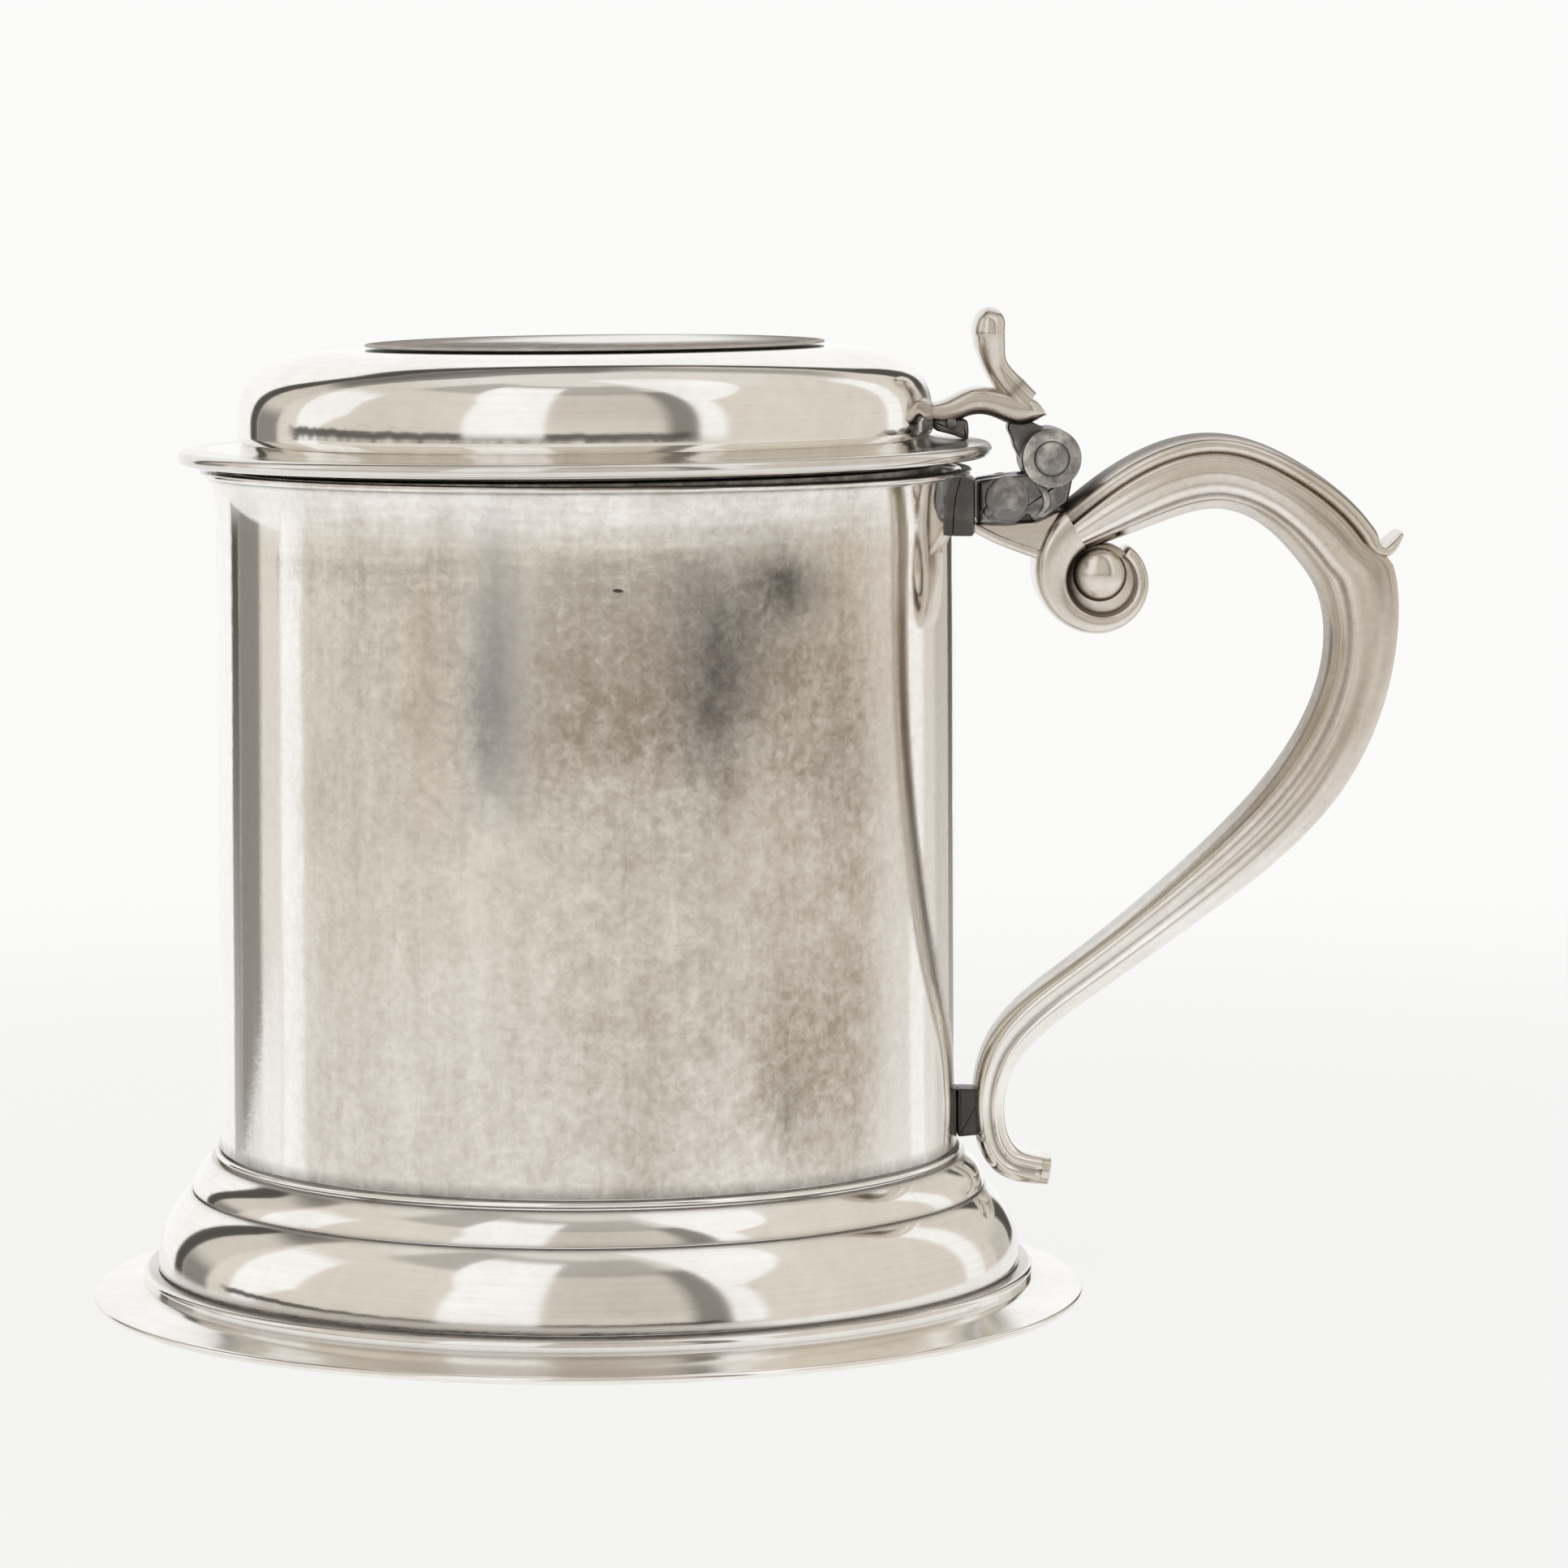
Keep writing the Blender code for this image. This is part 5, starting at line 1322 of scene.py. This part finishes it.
class TANKARD_OT_lid_hinge(bpy.types.Operator):
    """Builds the lid's side of the hinge: seat, strap, middle knuckle and thumbpiece"""

    bl_idname = "tankard.lid_hinge"
    bl_label = "Build the lid's hinge"

    def execute(self, context):
        edge = context.scene.tankard_form.edge_round / MM
        cast = finish("cast_scroll_silver")
        dark = finish("dark_hinge_silver")

        end = (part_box("lid_lug")[1].x - AXIS_X) / MM
        outer = [(45.0, 114.4), (end - 0.2, 114.4), (end, 113.0), (end - 0.1, 111.6)]
        seat = rounded(outer + [(47.6, 112.4), (45.2, 113.0)], 0.5, 5)
        skins = [plate(seat, -3.5, 3.5, edge, 0.25)]
        skins += [boss((47.4, 113.9), 0.8, 3.5, 0.45, side, 28) for side in (-1, 1)]
        add_piece("strap_seat", skins, "lid", "lid_lug", dark)

        out = STRAP_START + STRAP_LENGTH * np.sin(np.linspace(0.0, 1.0, 70) * math.pi / 2)
        over, under = (np.interp(out, *through(knots, 8).T) for knots in (STRAP_OVER, STRAP_UNDER))
        width = 8.0 - 2.2 * np.clip((out - 57.0) / 2.8, 0.0, 1.0) ** 2
        shape = oblong(over - under, width, 0.62, 40)
        line = columns(out, (over + under) / 2)
        upright = np.broadcast_to((0.0, 1.0), line.shape)
        # Slightly darker all over, and painted shade on the strap's underside
        depth = 0.24 + np.clip(-shape[..., 0] / 1.6, 0.0, 1.0) ** 3 * 0.75
        strap = swept(line, shape, upright, (0.1, 0.35), depth)
        add_piece("hinge_strap", [strap], "lid", "lid_strap", cast, 60.0)

        hinge = np.array([HINGE_OUT, HINGE_HEIGHT])
        heel = even(through(KNUCKLE_HEEL, 8), 28)
        knuckle = np.vstack([heel, circle(hinge, BARREL_RADIUS, 183, 460, 60)])
        ring = collar(knuckle, hinge, PIN_RADIUS + 0.15, -KNUCKLE_HALF, KNUCKLE_HALF, 0.3)
        add_piece("middle_knuckle", [ring], "lid", "lid_knuckle", dark)

        size = (-THUMB_SPAN[0], THUMB_SPAN[1], THUMB_STOUT, THUMB_BROAD)
        thumb = even(through((*THUMB_BASE, 0.0, 0.0) + np.array(THUMB_LINE) * size, 12), 60)
        shape = oblong(thumb[:, 2], thumb[:, 3], 0.72, 40)
        tarnish_and_shading = 0.22 + 0.4 * falling(np.abs(thumb[:, 1:2] - 118.2), 0.4)
        skin = swept(thumb, shape, ends=(0.1, 2.2), tarnish_and_shading=tarnish_and_shading)
        add_piece("thumb_lever", [skin], "lid", "thumbpiece", cast)
        return {"FINISHED"}


class TANKARD_OT_stage(bpy.types.Operator):
    """Sets the floor, the studio that the silver mirrors, and the camera"""

    bl_idname = "tankard.stage"
    bl_label = "Set the stage"

    def execute(self, context):
        scene = context.scene
        stage = scene.tankard_stage
        scene.view_settings.view_transform = "Standard"
        self.set_world(scene, stage)
        self.set_floor(scene, stage)
        self.set_camera(scene, stage)
        return {"FINISHED"}

    def set_world(self, scene, stage):
        """White backdrop behind, pale panels at the sides, two tall soft lights and dark flags between.

        Azimuth is 0 towards the camera and grows to the right; both angles are in degrees.
        """
        world = bpy.data.worlds.new("tankard_studio")
        scene.world = world
        world.use_nodes = True
        bench = Bench(world.node_tree)
        x, y, z = bench.axes(bench.node("ShaderNodeTexCoord"))
        turn = x.sum("ARCTAN2", x, 0 - y) * math.degrees(1.0)
        lift = x.sum("ARCSINE", z) * math.degrees(1.0)
        white, dark = (1.0, 1.0, 1.0), (0.05, 0.045, 0.04)
        lean = lift.at_least(0.0)
        high = (lift - 36).at_least(0.0)
        low = 0 - lift

        # Panels, the dim field between the front lights, and the front lights with their flag
        light = bench.mix(lift.rise(52.0, 66.0) * 0.8, stage.panel[:], (0.80, 0.78, 0.74))
        field = lift.band(8.0, 60.0, 8.0) * turn.band(-12.0, 27.0, 2.0)
        light = bench.mix(field * 0.3, light, (0.42, 0.39, 0.35))
        brow = lift.band(54.0, 75.0, 3.0) * turn.band(-85.0, 30.0, 6.0)
        light = bench.mix(brow * 0.7, light, (0.36, 0.34, 0.31))
        left_light = (turn + high * 0.5).rise(-42.0, -39.0) * (1 - turn.rise(-14.5, -11.5))
        left_light = left_light * lift.rise(-3.0, 0.0) * (1 - lift.rise(66.0, 74.0))
        light = bench.mix(left_light, light, white)
        flag = turn.band(27.0, 38.0, 3.0) * lift.band(-2.0, 58.0, 4.0)
        light = bench.mix(flag * 0.78, light, (0.13, 0.12, 0.11))
        right_light = turn.rise(36.5, 39.0) * (1 - (turn - high * 1.6).rise(45.0, 49.0))
        light = bench.mix(right_light * lift.rise(-3.0, 0.0), light, white)
        left_strip = turn.rise(-110.2, -107.8) * (1 - (turn - lean.at_most(13.0)).rise(-99.2, -96.8))
        strips = left_strip + turn.band(118.5, 129.0, 1.5)
        light = bench.mix(strips * (1 - lift.rise(36.0, 46.0)), light, white)

        # The white backdrop: a rounded patch behind the tankard, ringed by a dark line and a shade
        back = 180 - abs(turn)
        right = turn.rise(-0.5, 0.5) * back.rise(0.0, 13.0)
        out_left = (back - 22.0 - lean * 0.25).at_least(0.0)
        out_right = ((back - lean * 0.3) * 0.79 + 0.2).at_least(0.0)
        across = out_left + (out_right - out_left) * right
        up = (lift - 31.0).at_least(0.0)
        beyond = (across * across + up * up) ** 0.5 - 14.0
        light = bench.mix(1 - beyond.rise(-0.7, 0.7), light, white)
        faded = 1 - lean.rise(2.0, 12.0) * 0.80 * (1 - lean.rise(34.0, 44.0))
        shade = beyond.band(7.0, 23.0 - right * 4.0, 2.0) * (0.68 - right * 0.44) * faded
        light = bench.mix(shade, light, dark)
        light = bench.mix(beyond.band(8.0, 16.0, 5.0) * lean.rise(36.0, 48.0) * 0.45, light, dark)
        rim_line = 7.0 + lean * 0.07 * (1 - lean.rise(30.0, 46.0) * 0.9) - right * lean * 0.05
        light = bench.mix(beyond.band(0.3, rim_line, 0.7) * 0.95, light, dark)

        # A ragged dark horizon, and the table below it
        ragged = {"W": turn, "Scale": 0.17, "Detail": 5.0, "Roughness": 0.7}
        jag = bench.node("ShaderNodeTexNoise", {"noise_dimensions": "1D"}, ragged)
        horizon = (lift + jag * 4.0).band(-0.4, 2.9, 0.5) * turn.band(-112.0, 36.0, 4.0)
        light = bench.mix(horizon * (0.92 - left_light * 0.75), light, dark)
        table = low.rise(3.0, 10.5) * (0.55 - shade * 0.75).at_least(0.0)
        side = (low - 7.0 - (0 - turn - 111.0).at_least(0.0) * 0.08).rise(-0.35, 0.35)
        side = side * turn.band(-150.0, -110.0, 1.5)
        for cover in (table * (1 - strips), side * 0.85, low.rise(9.0, 24.0)):
            light = bench.mix(cover, light, stage.floor[:])

        seen = bench.node("ShaderNodeLightPath")
        light = bench.mix(seen, light, stage.backdrop[:])
        shader = bench.node("ShaderNodeBackground", None, {"Color": light, "Strength": 1.0})
        bench.node("ShaderNodeOutputWorld", None, {"Surface": shader})

    def set_floor(self, scene, stage):
        """A round table top: rings of points on the plane, shown white to the camera, fading at its edge."""
        angle = full_turn(96)
        radius = np.array(TABLE_RINGS)
        points = columns(radius * np.cos(angle), radius * np.sin(angle), TABLE_DROP)
        _, places, faces = Skin(points, True, False).faces()
        mesh = bpy.data.meshes.new("table_top")
        mesh.from_pydata(places.tolist(), [], faces)
        floor = bpy.data.objects.new("table_top", mesh)
        scene.collection.objects.link(floor)

        material, bench = new_material("white_table")
        place = bench.node("ShaderNodeTexCoord", out=3)
        far = bench.node("ShaderNodeVectorMath", {"operation": "LENGTH"}, {0: place}, out=1)
        path = bench.node("ShaderNodeLightPath")
        gloss, through_ray = (
            Value(bench, path.socket.node.outputs[name]) for name in ("Is Glossy Ray", "Is Transmission Ray")
        )
        direct = (path + gloss + through_ray).held()
        fine = bench.noise(place, 140.0, 2.0, 0.5)
        colour = bench.mix((fine - 0.5) * 0.06 + 0.03, stage.floor[:], (0.88, 0.875, 0.865))
        matte = bench.node("ShaderNodeBsdfDiffuse", None, {"Color": colour})
        glow = bench.node("ShaderNodeEmission", None, {"Color": (*stage.floor[:], 1.0), "Strength": 1.0})
        bright = bench.node("ShaderNodeMixShader", None, {0: direct * 0.88, 1: matte, 2: glow})
        clear = bench.node("ShaderNodeBsdfTransparent")
        fade = far.rise(0.20, 0.48).at_least(far.rise(0.085, 0.14) * gloss)
        whole = bench.node("ShaderNodeMixShader", None, {0: fade, 1: bright, 2: clear})
        bench.node("ShaderNodeOutputMaterial", None, {"Surface": whole})
        mesh.materials.append(material)

    def set_camera(self, scene, stage):
        """The camera's axes from its yaw, pitch and roll, and its place beside the drum's axis."""
        pitch, yaw, roll = stage.camera_pitch, stage.camera_yaw, stage.camera_roll
        ahead = np.array(
            [math.sin(yaw) * math.cos(pitch), math.cos(yaw) * math.cos(pitch), -math.sin(pitch)]
        )
        level = np.array([math.cos(yaw), -math.sin(yaw), 0.0])
        upright = np.cross(level, ahead)
        right = math.cos(roll) * level + math.sin(roll) * upright
        up = -math.sin(roll) * level + math.cos(roll) * upright
        place = np.array(stage.camera_place[:]) + (AXIS_X, 0.0, 0.0)
        matrix = np.eye(4)
        matrix[:3] = np.column_stack([right, up, -ahead, place])
        data = bpy.data.cameras.new("tankard_camera")
        data.sensor_width = 36.0
        data.lens = stage.lens
        data.clip_start = 0.01
        camera = bpy.data.objects.new("tankard_camera", data)
        scene.collection.objects.link(camera)
        camera.matrix_world = Matrix(matrix.tolist())
        scene.camera = camera


class TANKARD_PT_build(bpy.types.Panel):
    """Lists the tankard's building steps"""

    bl_idname = "TANKARD_PT_build"
    bl_label = "Silver tankard"
    bl_space_type = "VIEW_3D"
    bl_region_type = "UI"
    bl_category = "Tankard"

    def draw(self, context):
        column = self.layout.column()
        for step in STEPS:
            column.operator(step.bl_idname)
        for group in (context.scene.tankard_form, context.scene.tankard_finish, context.scene.tankard_stage):
            box = self.layout.box()
            for name in group.__annotations__:
                box.prop(group, name)


STEPS = (
    TANKARD_OT_stage,
    TANKARD_OT_drum,
    TANKARD_OT_foot,
    TANKARD_OT_hinge,
    TANKARD_OT_handle,
    TANKARD_OT_lid,
    TANKARD_OT_lid_hinge,
)
GROUPS = (TankardForm, TankardFinish, TankardStage)


def register():
    """Registers the settings, the building steps and the panel."""
    for kind in (*GROUPS, *STEPS, TANKARD_PT_build):
        bpy.utils.register_class(kind)
    bpy.types.Scene.tankard_form = PointerProperty(type=TankardForm)
    bpy.types.Scene.tankard_finish = PointerProperty(type=TankardFinish)
    bpy.types.Scene.tankard_stage = PointerProperty(type=TankardStage)


def unregister():
    """Takes everything that register added away again."""
    del bpy.types.Scene.tankard_stage
    del bpy.types.Scene.tankard_finish
    del bpy.types.Scene.tankard_form
    for kind in reversed((*GROUPS, *STEPS, TANKARD_PT_build)):
        bpy.utils.unregister_class(kind)


def main():
    """Builds the stage and every piece."""
    register()
    bpy.ops.tankard.stage()
    bpy.ops.tankard.drum()
    bpy.ops.tankard.foot()
    bpy.ops.tankard.hinge()
    bpy.ops.tankard.handle()
    bpy.ops.tankard.lid()
    bpy.ops.tankard.lid_hinge()


if __name__ == "__main__":
    main()
